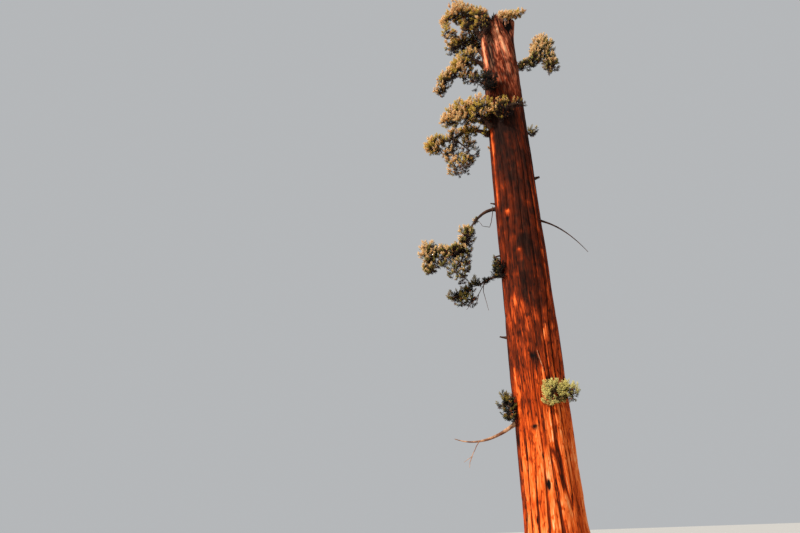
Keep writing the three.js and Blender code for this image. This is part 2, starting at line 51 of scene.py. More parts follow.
Array = np.ndarray
Pair = tuple[float, float]
Point = tuple[float, float, float]
Colour = tuple[float, float, float]
Pattern = tuple[Point, float]
Profile = tuple[tuple[float, ...], tuple[float, ...]]
Drift = tuple[float, Point, int]

BODY = "root"
GOLDEN_ANGLE = math.pi * (3 - math.sqrt(5))
UP = np.array((0.0, 0.0, 1.0))
# The sun's way, shared by the key light and the needles' painted sunlight and shade: high on the left, towards the
# viewer.
SUNWARD = np.array((-0.6, -0.55, 0.58)) / np.linalg.norm((-0.6, -0.55, 0.58))
NEEDLE_ROUGHNESS = 0.62
NEEDLE_GLOSS = 0.2
SMALL = 1e-4
# The steps and the gain of the seeded draws and of the noise.
HASH_STEPS = (127.1, 311.7, 74.7)
HASH_SEED_STEP = 17.3
HASH_GAIN = 43758.5453
STREW_SEED = 0.7


class Seed(IntEnum):
    """Picks the pattern of each noise, and the draws of the splinters."""

    WANDER = 1
    CREASE = 2
    CRACK = 3
    FIBRE = 4
    PLATE = 5
    FURROW_BREAK = 7
    CREASE_BREAK = 8
    TOOTH = 11
    CHIP = 12
    SHARD = 13
    NOTCH = 14
    BROAD_DRIFT = 21
    FINE_DRIFT = 22
    BROAD_BLOTCH = 23
    FINE_BLOTCH = 24
    LIMB_LUMP = 31
    LIMB_FLAKE = 32
    FOLIAGE_LUMP = 41
    FOLIAGE_GAP = 42
    SPLINTER_TURN = 61
    SPLINTER_INSET = 62
    SPLINTER_RISE = 63
    SPLINTER_AIM = 64
    SPLINTER_LEAN = 65
    SPLINTER_RADIUS = 66
    SPLINTER_CHAR = 67
    TWIG_KINK = 70


class Draw(IntEnum):
    """Where each row of draws starts in a clump's rule."""

    SPIRAL = 1
    TUFT_SUN = 2
    TWIG_REACH = 10
    CORD_LENGTH = 20
    HEAD_RISE = 300
    HEAD_GAP = 320
    HEAD_SUN = 340
    HEAD_GREEN = 360
    STREW = 400
    TUFT_LIFT = 500
    TUFT_TURN = 550
    TUFT_LENGTH = 600
    SPRAY_LEAN = 700
    SPRAY_LENGTH = 800
    SPRAY_SUN = 900
    SPRAY_RUST = 950


class Slot(Enum):
    """The names of the material slots: trunk bark, limb bark and foliage."""

    TRUNK_BARK = "trunk_bark"
    LIMB_BARK = "limb_bark"
    FOLIAGE = "foliage"


def linear(red: int, green: int, blue: int) -> Colour:
    """Turns a colour as a screen shows it, 0 to 255, into the linear one that shaders take."""
    shares = [channel / 255 for channel in (red, green, blue)]
    return tuple(s / 12.92 if s <= 0.04045 else ((s + 0.055) / 1.055) ** 2.4 for s in shares)


def scatter(seed: float | Array, place: float | Array) -> Any:
    """Gives numbers from 0 to 1 that depend only on the seed and the place in the rule."""
    wave = np.sin(seed * HASH_STEPS[0] + place * HASH_STEPS[1]) * HASH_GAIN
    return wave - np.floor(wave)


def unit(vectors: Array) -> Array:
    """Scales vectors to length 1."""
    return vectors / np.linalg.norm(vectors, axis=-1, keepdims=True)


def smoothstep(low: float, high: float, value: Array) -> Array:
    """Rises smoothly from 0 at low to 1 at high."""
    share = np.clip((value - low) / (high - low), 0, 1)
    return share * share * (3 - 2 * share)


def noise(places: Array, scale: Sequence[float], seed: float) -> Array:
    """Gives smooth noise.

    Args:
        places: Points, one a row.
        scale: How many cells a metre holds along X, Y and Z.
        seed: Picks one pattern.

    Returns:
        A number from -1 to 1 for each point.
    """
    scaled = places * np.asarray(scale)
    cell = np.floor(scaled)
    local = scaled - cell
    ease = local * local * (3 - 2 * local)
    total = np.zeros(len(places))
    for corner in np.ndindex(2, 2, 2):
        wave = np.sin((cell + corner) @ HASH_STEPS + seed * HASH_SEED_STEP) * HASH_GAIN
        weight = np.prod(np.where(np.array(corner) == 1, ease, 1 - ease), axis=1)
        total += weight * (wave - np.floor(wave))
    return 2 * total - 1


def creases(places: Array, scale: Sequence[float], width: float, seed: float) -> Array:
    """Gives a net of narrow lines, 1 along their middles and 0 away from them."""
    return np.exp(-((noise(places, scale, seed) / width) ** 2))


class Workbench:
    """The steps by which every mesh here is made."""

    @staticmethod
    def clear_selection() -> None:
        """Deselects everything, since an operator acts on all that is selected."""
        bpy.ops.object.select_all(action="DESELECT")

    @staticmethod
    def take(piece: bpy.types.Object) -> None:
        """Makes one object the only selected and the active one."""
        Workbench.clear_selection()
        piece.select_set(True)
        bpy.context.view_layer.objects.active = piece

    @staticmethod
    def _read(parts: Any, name: str) -> Array:
        """Reads a vector of each part of a mesh, one a row."""
        flat = np.empty(len(parts) * 3)
        parts.foreach_get(name, flat)
        return flat.reshape(-1, 3)

    @staticmethod
    def places(piece: bpy.types.Object) -> Array:
        """Reads a mesh's points, one a row."""
        return Workbench._read(piece.data.vertices, "co")

    @staticmethod
    def normals(piece: bpy.types.Object) -> Array:
        """Reads the directions in which a mesh's points face, one a row."""
        return Workbench._read(piece.data.vertex_normals, "vector")

    @staticmethod
    def move_to(piece: bpy.types.Object, places: Array) -> None:
        """Puts a mesh's points at new places."""
        piece.data.vertices.foreach_set("co", places.astype(np.float32).ravel())
        piece.data.update()

    @staticmethod
    def note(piece: bpy.types.Object, name: str, values: Array) -> None:
        """Keeps a number, or a vector, for each point as an attribute that a material reads."""
        kind, part = ("FLOAT_VECTOR", "vector") if values.ndim == 2 else ("FLOAT", "value")
        attribute = piece.data.attributes.new(name, kind, "POINT")
        attribute.data.foreach_set(part, values.astype(np.float32).ravel())

    @staticmethod
    def select_parts(piece: bpy.types.Object, kind: str, chosen: Array) -> None:
        """Selects some edges or faces of a mesh and leaves it in edit mode.

        Args:
            piece: The mesh object.
            kind: EDGE or FACE.
            chosen: True for each edge or face to select.
        """
        bpy.ops.object.mode_set(mode="EDIT")
        bpy.ops.mesh.select_mode(type=kind)
        bpy.ops.mesh.select_all(action="DESELECT")
        bpy.ops.object.mode_set(mode="OBJECT")
        parts = piece.data.edges if kind == "EDGE" else piece.data.polygons
        parts.foreach_set("select", chosen)
        bpy.ops.object.mode_set(mode="EDIT")

    @staticmethod
    def tubes(name: str, lines: Iterable[tuple[Array, Array]], roundness: int) -> bpy.types.Object:
        """Makes closed tapering tubes along lines, as one mesh.

        Args:
            name: The piece's name.
            lines: For each tube its points, one a row, and its radius at each.
            roundness: 0 gives four sides, and each step adds two.

        Returns:
            The mesh object.
        """
        curve = bpy.data.curves.new(name, "CURVE")
        curve.dimensions = "3D"
        curve.bevel_depth = 1.0
        curve.bevel_resolution = roundness
        curve.use_fill_caps = True
        for points, radii in lines:
            spline = curve.splines.new("POLY")
            spline.points.add(len(points) - 1)
            spline.points.foreach_set("co", np.c_[points, np.ones(len(points))].ravel())
            spline.points.foreach_set("radius", radii)
        piece = bpy.data.objects.new(name, curve)
        bpy.context.collection.objects.link(piece)
        Workbench.take(piece)
        bpy.ops.object.convert(target="MESH")
        return bpy.context.active_object

    @staticmethod
    def from_arrays(name: str, places: Array, triangles: Array, dealt: Array) -> bpy.types.Object:
        """Makes one mesh of many small repeated things.

        Args:
            name: The piece's name.
            places: The points, one a row.
            triangles: Three point numbers a row.
            dealt: The number of each triangle's material.

        Returns:
            The mesh object.
        """
        mesh = bpy.data.meshes.new(name)
        mesh.vertices.add(len(places))
        mesh.vertices.foreach_set("co", places.astype(np.float32).ravel())
        mesh.loops.add(triangles.size)
        mesh.loops.foreach_set("vertex_index", triangles.astype(np.int32).ravel())
        mesh.polygons.add(len(triangles))
        mesh.polygons.foreach_set("loop_start", np.arange(0, triangles.size, 3, dtype=np.int32))
        mesh.polygons.foreach_set("material_index", dealt.astype(np.int32))
        mesh.update(calc_edges=True)
        piece = bpy.data.objects.new(name, mesh)
        bpy.context.collection.objects.link(piece)
        return piece

    @staticmethod
    def dress(
        piece: bpy.types.Object, slot: Slot, node: str, *finishes: bpy.types.Material, smooth: bool = False
    ) -> None:
        """Gives a piece its materials, and lets it ride on the tree and stand for the solid that it dresses.

        Args:
            piece: The piece.
            slot: Not used.
            node: The solid's node.
            finishes: Its materials.
            smooth: True where its faces are shaded as one smooth skin.
        """
        for finish in finishes:
            piece.data.materials.append(finish)
        if smooth:
            Workbench.take(piece)
            bpy.ops.object.shade_smooth()
        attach(piece, BODY)
        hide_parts(node)
        log.info("%s: %d faces for %s", piece.name, len(piece.data.polygons), node)


class Number:
    """A shader value that Python arithmetic turns into Math nodes."""

    def __init__(self, graph: "ShaderGraph", socket: bpy.types.NodeSocket) -> None:
        """Wraps one output socket of a graph."""
        self.graph = graph
        self.socket = socket

    def _math(self, operation: str, first: Any, second: Any, clamp: bool = False) -> "Number":
        """Adds one Math node."""
        settings = {"operation": operation, "use_clamp": clamp}
        made = self.graph.node("ShaderNodeMath", settings, {0: first, 1: second})
        return Number(self.graph, made.outputs[0])

    def __add__(self, other: Any) -> "Number":
        """Adds."""
        return self._math("ADD", self, other)

    def __radd__(self, other: Any) -> "Number":
        """Adds, from the right."""
        return self._math("ADD", other, self)

    def __sub__(self, other: Any) -> "Number":
        """Subtracts."""
        return self._math("SUBTRACT", self, other)

    def __rsub__(self, other: Any) -> "Number":
        """Subtracts, from the right."""
        return self._math("SUBTRACT", other, self)

    def __mul__(self, other: Any) -> "Number":
        """Multiplies."""
        return self._math("MULTIPLY", self, other)

    def __rmul__(self, other: Any) -> "Number":
        """Multiplies, from the right."""
        return self._math("MULTIPLY", other, self)

    def clamped(self) -> "Number":
        """Keeps the value between 0 and 1."""
        return self._math("ADD", self, 0.0, clamp=True)


class ShaderGraph:
    """One material's nodes."""

    def __init__(self, name: str) -> None:
        """Starts an empty material."""
        self.material = bpy.data.materials.new(name)
        self.material.use_nodes = True
        self.tree = self.material.node_tree
        self.tree.nodes.clear()

    def node(
        self, kind: str, settings: Mapping[str, Any] | None = None, inputs: Mapping[Any, Any] | None = None
    ) -> bpy.types.Node:
        """Adds a node.

        Args:
            kind: The node's type.
            settings: Its properties, set first. The name stops gives a colour ramp's places and colours.
            inputs: For each socket, by name or number, a value, a Number or another node's socket.

        Returns:
            The node.
        """
        made = self.tree.nodes.new(kind)
        for name, value in (settings or {}).items():
            if name == "stops":
                self._set_ramp(made, value)
            else:
                setattr(made, name, value)
        for name, value in (inputs or {}).items():
            self._feed(made.inputs[name], value)
        return made

    def _set_ramp(self, made: bpy.types.Node, stops: Sequence[tuple[float, Colour]]) -> None:
        """Gives a colour ramp its stops, each a place and a colour."""
        elements = made.color_ramp.elements
        while len(elements) < len(stops):
            elements.new(1.0)
        for element, (place, colour) in zip(elements, stops):
            element.position = place
            element.color = (*colour, 1.0)

    def _feed(self, socket: bpy.types.NodeSocket, value: Any) -> None:
        """Links a socket to a Number or to another node's socket, or sets it."""
        if isinstance(value, Number):
            value = value.socket
        if isinstance(value, bpy.types.NodeSocket):
            self.tree.links.new(value, socket)
        elif socket.type == "RGBA" and len(value) == 3:
            socket.default_value = (*value, 1.0)
        else:
            socket.default_value = value

    def number(self, attribute: str) -> Number:
        """Reads a number that the mesh keeps for each point."""
        made = self.node("ShaderNodeAttribute", {"attribute_name": attribute})
        return Number(self, made.outputs["Fac"])

    def vector(self, attribute: str) -> bpy.types.NodeSocket:
        """Reads a vector that the mesh keeps for each point."""
        return self.node("ShaderNodeAttribute", {"attribute_name": attribute}).outputs["Vector"]

    def place(self) -> bpy.types.NodeSocket:
        """Reads the place on the object."""
        return self.node("ShaderNodeTexCoord").outputs["Object"]

    def mottle(self, where: bpy.types.NodeSocket, scale: Point, detail: float) -> Number:
        """Adds noise from 0 to 1, with so many cells to the metre along X, Y and Z, and finer layers."""
        stretched = self.node("ShaderNodeVectorMath", {"operation": "MULTIPLY"}, {0: where, 1: scale})
        inputs = {"Vector": stretched.outputs[0], "Scale": 1.0, "Detail": detail}
        return Number(self, self.node("ShaderNodeTexNoise", None, inputs).outputs[0])

    def above(self, value: Number, low: float, high: float) -> Number:
        """Turns a value into a mask that rises from 0 at low to 1 at high."""
        inputs = {"Value": value, "From Min": low, "From Max": high}
        return Number(self, self.node("ShaderNodeMapRange", {"clamp": True}, inputs).outputs[0])

    def blend(self, share: Any, first: Any, second: Any) -> bpy.types.NodeSocket:
        """Mixes two colours."""
        made = self.node("ShaderNodeMix", {"data_type": "RGBA"}, {0: share, 6: first, 7: second})
        return made.outputs[2]

    def finish(self, colour: Any, roughness: float, gloss: Any = None, normal: Any = None) -> bpy.types.Material:
        """Adds the shader and the output.

        Args:
            colour: The base colour.
            roughness: How rough the surface is.
            gloss: How strongly it reflects, where that isn't the shader's own value.
            normal: The socket of its bump, if it has one.

        Returns:
            The material.
        """
        values = {"Base Color": colour, "Roughness": roughness, "Specular IOR Level": gloss, "Normal": normal}
        inputs = {name: value for name, value in values.items() if value is not None}
        shader = self.node("ShaderNodeBsdfPrincipled", None, inputs)
        self.node("ShaderNodeOutputMaterial", None, {"Surface": shader.outputs[0]})
        return self.material

    def bump(self, height: Number, depth: float) -> bpy.types.NodeSocket:
        """Adds a bump of a depth in metres."""
        return self.node("ShaderNodeBump", None, {"Height": height, "Distance": depth}).outputs[0]


@dataclass(frozen=True)
class TrunkBarkFinish:
    """Fibrous red bark on one scale of tones, from pale fibres through bright orange to nearly black.

    A pattern is its cells to a metre along X, Y and Z, and its detail. Edges are the values between which a mask
    rises, plays and tones are how far a pattern darkens the bark, and fray is how far it breaks up a mask.
    """

    name: str = "sequoia_trunk_bark"
    tones: tuple[tuple[float, Colour], ...] = (
        (0.0, linear(255, 204, 158)),
        (0.12, linear(252, 152, 86)),
        (0.27, linear(236, 104, 36)),
        (0.42, linear(180, 62, 14)),
        (0.56, linear(114, 38, 9)),
        (0.7, linear(80, 27, 9)),
        (0.85, linear(50, 18, 8)),
        (1.0, linear(26, 10, 6)),
    )
    silver: Colour = linear(162, 108, 82)
    bleached: Colour = linear(240, 180, 142)
    char: Colour = linear(18, 11, 10)
    roughness: float = 0.9
    gloss: float = 0.1
    fibre_depth: float = 0.02
    hairs: Pattern = ((30.0, 30.0, 1.8), 4.0)
    strands: Pattern = ((13.0, 13.0, 0.9), 5.0)
    peels: Pattern = ((13.0, 13.0, 0.5), 3.0)
    pits: Pattern = ((8.0, 8.0, 2.4), 3.0)
    patches: Pattern = ((1.5, 1.5, 0.5), 5.0)
    blotches: Pattern = ((3.2, 3.2, 1.6), 4.0)
    greys: Pattern = ((9.0, 9.0, 1.0), 4.0)
    strand_play: float = 1.1
    hair_play: float = 0.8
    patch_play: float = 0.4
    blotch_play: float = 0.35
    silver_blotch_play: float = 0.5
    pit_edges: Pair = (0.56, 0.66)
    pit_tone: float = 0.32
    peel_edges: Pair = (0.56, 0.68)
    peel_tone: float = 0.2
    furrow_edges: Pair = (0.15, 0.85)
    furrow_fray: float = 0.4
    furrow_tone: float = 0.42
    grey_edges: Pair = (0.5, 0.66)
    bleached_below: float = 0.6
    bleached_edges: Pair = (0.0, 0.5)
    silver_share: float = 0.2
    char_edges: Pair = (0.25, 0.6)
    char_fray: float = 0.6
    strand_relief: float = 0.7
    hair_relief: float = 0.5

    def material(self) -> bpy.types.Material:
        """Makes the material, which reads furrow, tone, play, silver, char and grain from the mesh.

        Returns:
            The material.
        """
        graph = ShaderGraph(self.name)
        grain = graph.vector("grain")
        hairs, strands, peels, pits, patches, blotches = (
            graph.mottle(grain, *pattern)
            for pattern in (self.hairs, self.strands, self.peels, self.pits, self.patches, self.blotches)
        )
        silver = graph.number("silver")
        mottled = (strands - 0.5) * self.strand_play + (hairs - 0.5) * self.hair_play
        mottled = mottled + (patches - 0.5) * self.patch_play
        mottled = mottled + (blotches - 0.5) * (silver * self.silver_blotch_play + self.blotch_play)
        worn = graph.above(pits, *self.pit_edges) * self.pit_tone
        worn = worn - graph.above(peels, *self.peel_edges) * self.peel_tone
        frayed = graph.number("furrow") + (hairs - 0.5) * self.furrow_fray
        depth = graph.above(frayed, *self.furrow_edges) * self.furrow_tone
        tone = graph.number("tone") + (mottled + worn) * graph.number("play") + depth
        toned = graph.node("ShaderNodeValToRGB", {"stops": self.tones}, {0: tone}).outputs[0]
        greyed = graph.above(graph.mottle(grain, *self.greys), *self.grey_edges) * silver
        toned = graph.blend(greyed * self.silver_share, toned, self.silver)
        pale = graph.above(self.bleached_below - tone, *self.bleached_edges) * silver * self.silver_share
        toned = graph.blend(pale, toned, self.bleached)
        burnt = graph.above(graph.number("char") + (strands - 0.5) * self.char_fray, *self.char_edges)
        charred = graph.blend(burnt, toned, self.char)
        relief = strands * self.strand_relief + hairs * self.hair_relief
        return graph.finish(charred, self.roughness, self.gloss, graph.bump(relief, self.fibre_depth))


@dataclass(frozen=True)
class BrokenWoodFinish:
    """The torn wood of the broken top: tan splinters that are stained dark and charred in the hollow."""

    name: str = "sequoia_broken_wood"
    torn: Colour = linear(206, 140, 100)
    stained: Colour = linear(92, 52, 36)
    char: Colour = linear(20, 15, 14)
    roughness: float = 0.92
    fibre_depth: float = 0.015
    strands: Pattern = ((16.0, 16.0, 0.9), 5.0)
    stain_edges: Pair = (0.4, 0.62)
    char_fray: float = 0.7

    def material(self) -> bpy.types.Material:
        """Makes the material, which reads char and grain from the mesh.

        Returns:
            The material.
        """
        graph = ShaderGraph(self.name)
        strands = graph.mottle(graph.vector("grain"), *self.strands)
        streaked = graph.blend(graph.above(strands, *self.stain_edges), self.torn, self.stained)
        burnt = (graph.number("char") + (strands - 0.5) * self.char_fray).clamped()
        charred = graph.blend(burnt, streaked, self.char)
        return graph.finish(charred, self.roughness, normal=graph.bump(strands, self.fibre_depth))


@dataclass(frozen=True)
class LimbBarkFinish:
    """The thinner bark of the boughs and snags."""

    name: str = "sequoia_limb_bark"
    light: Colour = linear(98, 66, 50)
    dark: Colour = linear(42, 28, 23)
    furrow: Colour = linear(26, 18, 15)
    roughness: float = 0.88
    gloss: float = 0.15
    flake_depth: float = 0.006
    flakes: Pattern = ((22.0, 22.0, 22.0), 5.0)
    patches: Pattern = ((3.0, 3.0, 3.0), 3.0)
    patch_edges: Pair = (0.35, 0.65)
    patch_fray: float = 0.6

    def material(self) -> bpy.types.Material:
        """Makes the material, which reads furrow from the mesh.

        Returns:
            The material.
        """
        graph = ShaderGraph(self.name)
        flakes = graph.mottle(graph.place(), *self.flakes)
        patches = graph.mottle(graph.place(), *self.patches)
        patchy = graph.above(patches + (flakes - 0.5) * self.patch_fray, *self.patch_edges)
        barked = graph.blend(patchy, self.light, self.dark)
        furrowed = graph.blend(graph.number("furrow"), barked, self.furrow)
        return graph.finish(furrowed, self.roughness, self.gloss, graph.bump(flakes, self.flake_depth))


@dataclass(frozen=True)
class DeadWoodFinish(LimbBarkFinish):
    """The bleached wood of a dead bough that has lost its bark."""

    name: str = "sequoia_dead_wood"
    light: Colour = linear(214, 164, 124)
    dark: Colour = linear(128, 82, 58)
    furrow: Colour = linear(62, 36, 26)


@dataclass(frozen=True)
class TwigFinish:
    """The rusty brown skin of living twigs."""

    name: str = "sequoia_twig"
    light: Colour = linear(92, 62, 42)
    dark: Colour = linear(46, 32, 24)
    roughness: float = 0.85
    flake_depth: float = 0.002
    flakes: Pattern = ((40.0, 40.0, 40.0), 3.0)
    flake_edges: Pair = (0.35, 0.65)

    def material(self) -> bpy.types.Material:
        """Makes the material."""
        graph = ShaderGraph(self.name)
        flakes = graph.mottle(graph.place(), *self.flakes)
        skin = graph.blend(graph.above(flakes, *self.flake_edges), self.light, self.dark)
        return graph.finish(skin, self.roughness, normal=graph.bump(flakes, self.flake_depth))


class Tint(Enum):
    """The plain colours dealt out to the sprays of needles, most of them steps from painted shade to painted sunlight.
    """

    NIGHT = linear(30, 25, 21)
    SHADE = linear(44, 29, 28)
    PINE = linear(54, 56, 36)
    DEEP = linear(80, 62, 36)
    OLIVE = linear(146, 126, 54)
    MOSS = linear(220, 186, 84)
    AMBER = linear(230, 158, 76)
    GOLD = linear(255, 212, 150)
    RUST = linear(178, 100, 58)
    LEAF = linear(150, 146, 70)
    FRESH = linear(230, 216, 132)

    def material(self) -> bpy.types.Material:
        """Makes the tint's material."""
        return ShaderGraph(f"sequoia_needles_{self.name.lower()}").finish(self.value, NEEDLE_ROUGHNESS, NEEDLE_GLOSS)


class Palette(Enum):
    """A clump's tints, from its shaded side to its sunny one."""

    GOLDEN = (Tint.SHADE, Tint.DEEP, Tint.OLIVE, Tint.AMBER, Tint.GOLD)
    GREEN = (Tint.SHADE, Tint.DEEP, Tint.OLIVE, Tint.MOSS, Tint.MOSS)
    # Dark green tints, whose darkest steps paint deep shade.
    DARK = (Tint.NIGHT, Tint.NIGHT, Tint.PINE, Tint.PINE, Tint.OLIVE)
    PALE = (Tint.SHADE, Tint.DEEP, Tint.OLIVE, Tint.LEAF, Tint.GOLD)
    FRESH = (Tint.DEEP, Tint.OLIVE, Tint.LEAF, Tint.FRESH, Tint.FRESH)


@dataclass(frozen=True)
class Wave:
    """A wave round the trunk: its size, its turns in one round, its start and its turn in a metre of height."""

    size: float
    turns: int
    start: float = 0.0
    climb: float = 0.0

    def cosine(self, angle: Array) -> Array:
        """Gives how far a wave that doesn't climb stands out at an angle."""
        return self.size * np.cos(self.turns * angle + self.start)


@dataclass(frozen=True)
class TrunkShape:
    """The trunk's outer form, by the formula that its solid follows."""

    height: float = 37.55
    radius: float = 1.7
    taper: float = 0.0095
    taper_gain: float = 0.00011
    flare: float = 0.85
    flare_height: float = 0.42
    flare_mean: float = 0.78
    buttresses: tuple[Wave, ...] = (Wave(0.22, 7, 0.7), Wave(0.12, 3, 2.0))
    ridges: int = 20
    ridge_depth: float = 0.055
    ridge_mean: float = 0.75
    ridge_swell: Wave = Wave(0.25, 3, 1.0)
    twist_start: float = 24.0
    twist_gain: float = 0.011
    waves: tuple[Wave, ...] = (Wave(0.05, 2, 0.4, 0.31), Wave(0.035, 3, 1.9, -0.47), Wave(0.02, 5, 3.1, 0.83))

    def grain_turn(self, height: Array) -> Array:
        """Tells how far the spiral grain has turned at a height, in radians."""
        above = np.maximum(0, height - self.twist_start)
        return 0.5 * self.twist_gain * above * above

    def sway(self, grain: Array, height: Array) -> Array:
        """Tells how far the furrow at an angle of the grain has swayed, in radians."""
        return sum(w.size * np.sin(w.turns * grain + w.climb * height + w.start) for w in self.waves)

    def stem(self, height: Array, angle: Array) -> Array:
        """Gives the radius without the ridges of the bark."""
        straight = self.radius - self.taper * height - self.taper_gain * height * height
        folds = self.flare_mean
        for wave in self.buttresses:
            folds = folds + wave.cosine(angle)
        return straight + self.flare * folds * np.exp(-height / self.flare_height)

    def ridge_size(self, grain: Array) -> Array:
        """Gives half the height of the ridges round the trunk."""
        return self.ridge_depth * (self.ridge_mean + self.ridge_swell.cosine(grain))

    def grain_at(self, height: Array, angle: Array) -> Array:
        """Gives the angle of the grain that has come to stand at an angle round the trunk."""
        straight = angle + self.grain_turn(height)
        return straight + self.sway(straight, height)

    def surface(self, height: Array, angle: Array) -> Array:
        """Gives the radius of the solid's bark."""
        grain = self.grain_at(height, angle)
        return self.stem(height, angle) + self.ridge_size(grain) * np.cos(self.ridges * grain)


@dataclass(frozen=True)
class BrokenTop:
    """The crater, its jagged rim that dips on the right, the splinter on it and the ear that leans out."""

    crater: float = 1.2
    wall: float = 0.26
    jag: float = 0.17
    jags: tuple[Wave, ...] = (Wave(1.0, 3, 0.6), Wave(0.7, 7, 2.0), Wave(0.9, 13))
    dip: float = 0.25
    dip_bearing: float = 300.0
    splinter: float = 0.7
    splinter_bearing: float = 269.0
    splinter_width: float = 0.02
    lean: float = 0.3
    lean_bearing: float = 350.0
    lean_width: float = 0.04

    def leaning(self, angle: Array) -> Array:
        """Gives how far the ear leans out at an angle."""
        return self.lean * self._hump(angle, self.lean_bearing, self.lean_width)

    def rim(self, angle: Array) -> Array:
        """Gives the height of the rim at an angle."""
        jags = sum(wave.cosine(angle) for wave in self.jags)
        dip = self.dip * (1 + np.cos(angle - math.radians(self.dip_bearing)))
        splinter = self.splinter * self._hump(angle, self.splinter_bearing, self.splinter_width)
        return TRUNK.height + self.jag * jags - dip + splinter

    @staticmethod
    def _hump(angle: Array, bearing: float, width: float) -> Array:
        """Gives a hump of height 1 round a bearing."""
        return np.exp((np.cos(angle - math.radians(bearing)) - 1) / width)


TRUNK = TrunkShape()
TOP = BrokenTop()


def on_bearing(height: float, bearing: float, distance: float) -> Array:
    """Gives the point at a height, a bearing in degrees and a distance from the tree's axis."""
    angle = math.radians(bearing)
    return np.array((distance * math.cos(angle), distance * math.sin(angle), height))


def unrolled(angle: Array, height: Array, radius: float | Array = 1.0) -> Array:
    """Puts angles and heights on a plain drum, on which noise has no seam."""
    return np.c_[radius * np.cos(angle), radius * np.sin(angle), height]


@dataclass(frozen=True)
class Limb:
    """A bough or a snag, with the same sizes as its solid.

    Attributes:
        foot: The height and bearing at which it leaves the trunk.
        end: The height, bearing and reach of its end.
        thick: Its thickness at its foot and at its end.
        rise: How far its middle stands above a straight line.
        bleached: True where it has lost its bark.
        start_share: How far out in the trunk it starts, as a share of the trunk's radius.
        bend_share: How far along it bends most.
    """

    foot: Pair
    end: Point
    thick: Pair
    rise: float = 0.0
    bleached: bool = False
    start_share: float = 0.55
    bend_share: float = 0.55

    def line(self, steps: int) -> Array:
        """Gives points along its curve, from inside the trunk to its end.

        Args:
            steps: The number of steps between them.

        Returns:
            The points, one a row.
        """
        start = on_bearing(*self.foot, TRUNK.radius * self.start_share)
        tip = on_bearing(*self.end)
        middle = start + (tip - start) * self.bend_share + UP * 2 * self.rise
        share = np.linspace(0, 1, steps + 1)[:, None]
        return (1 - share) ** 2 * start + 2 * (1 - share) * share * middle + share**2 * tip

    def radii(self, steps: int) -> Array:
        """Gives its radius at each of those points."""
        return np.linspace(*self.thick, steps + 1) / 2


BOUGHS = {
    "bough_top_left": Limb((36.1, 200), (37.4, 200, 1.85), (0.4, 0.26), -0.15),
    "bough_upper_left": Limb((35.0, 166), (36.2, 166, 1.75), (0.34, 0.22), -0.12),
    "bough_middle_left": Limb((33.4, 190), (34.2, 192, 1.85), (0.36, 0.24), 0.05),
    "bough_lower_left": Limb((27.6, 208), (28.4, 212, 1.95), (0.42, 0.28), -0.1),
    "bough_hanging_left": Limb((27.4, 172), (28.5, 170, 3.3), (0.34, 0.18), 0.35),
    "bough_arching_left": Limb((21.35, 180), (20.5, 188, 2.95), (0.26, 0.15), 0.42),
    "bough_slim_left": Limb((16.5, 178), (16.35, 170, 3.0), (0.2, 0.1), 0.22),
    "bough_bare_low_left": Limb((7.6, 187), (6.3, 191, 5.25), (0.26, 0.04), -0.68, bleached=True),
    "bough_bare_right": Limb((20.4, 6), (17.85, 10, 4.25), (0.15, 0.03), 0.55),
    "bough_top_back": Limb((34.9, 98), (35.9, 98, 1.95), (0.36, 0.24), -0.1),
    "bough_upper_back": Limb((31.6, 76), (32.4, 76, 2.0), (0.34, 0.22), -0.08),
    "bough_middle_back": Limb((28.2, 104), (28.8, 104, 2.1), (0.34, 0.22), -0.05),
    "bough_lower_back": Limb((24.3, 86), (24.4, 86, 2.3), (0.3, 0.18), 0.14),
}
SNAGS = {
    "snag_left_high": Limb((21.7, 183), (21.95, 183, 1.75), (0.16, 0.07)),
    "snag_left_middle": Limb((17.95, 190), (17.8, 190, 1.98), (0.18, 0.03), 0.02),
    "snag_left_low": Limb((12.4, 184), (12.45, 184, 2.02), (0.22, 0.08), -0.08),
    "snag_right_high": Limb((23.3, 356), (23.45, 356, 1.75), (0.2, 0.12)),
    "snag_back_high": Limb((21.25, 70), (21.55, 70, 1.95), (0.22, 0.08), -0.04),
    "snag_back_low": Limb((12.95, 118), (12.85, 118, 2.1), (0.22, 0.06), 0.03),
}


@dataclass(frozen=True)
class Lobe:
    """An egg-shaped space of a clump.

    Attributes:
        at: Its middle.
        half: Its half sizes.
        after: The number of the lobe that it grows on from, if that isn't the one before it.
        open: True where sky shows through it.
        light: How much sunnier than its clump it is.
    """

    at: Point
    half: Point
    after: int | None = None
    open: bool = False
    light: float = 0.0


@dataclass(frozen=True)
class Clump:
    """A clump of foliage, in the spaces that its solid keeps to.

    Attributes:
        lobes: Its spaces, in the order in which they grow.
        bough: The bough whose tip it grows from, if it has one.
        root: The height and bearing at which it leaves the trunk otherwise.
        crater: The place in the crater that it grows from otherwise.
        thick: Its stem's thickness where it has no bough.
        sleeves: How far along its bough foliage clothes it, and the radius of that foliage.
        palette: Its tints.
        light: How much sunnier than even it is.
    """

    lobes: tuple[Lobe, ...]
    bough: str | None = None
    root: Pair | None = None
    crater: Pair | None = None
    thick: float = 0.0
    sleeves: tuple[Pair, ...] = ()
    palette: Palette = Palette.GOLDEN
    light: float = 0.0

    def sunny_side(self, place: Array) -> float:
        """Tells how far towards the sun a place lies in the clump, from about -1 to 1."""
        middles = np.array([lobe.at for lobe in self.lobes])
        middle = middles.mean(axis=0)
        reach = np.abs((middles - middle) @ SUNWARD).max() + self.lobes[0].half[2]
        return float((place - middle) @ SUNWARD / reach)


def clump_of(*lobes: Lobe, **sizes: Any) -> Clump:
    """Gives a clump of these lobes."""
    return Clump(lobes, **sizes)


def far_clump(bough: str, *lobes: Lobe) -> Clump:
    """Gives a clump at the end of one of the boughs on the far side."""
    return clump_of(*lobes, bough=bough, sleeves=((0.85, 0.42),), light=0.2)


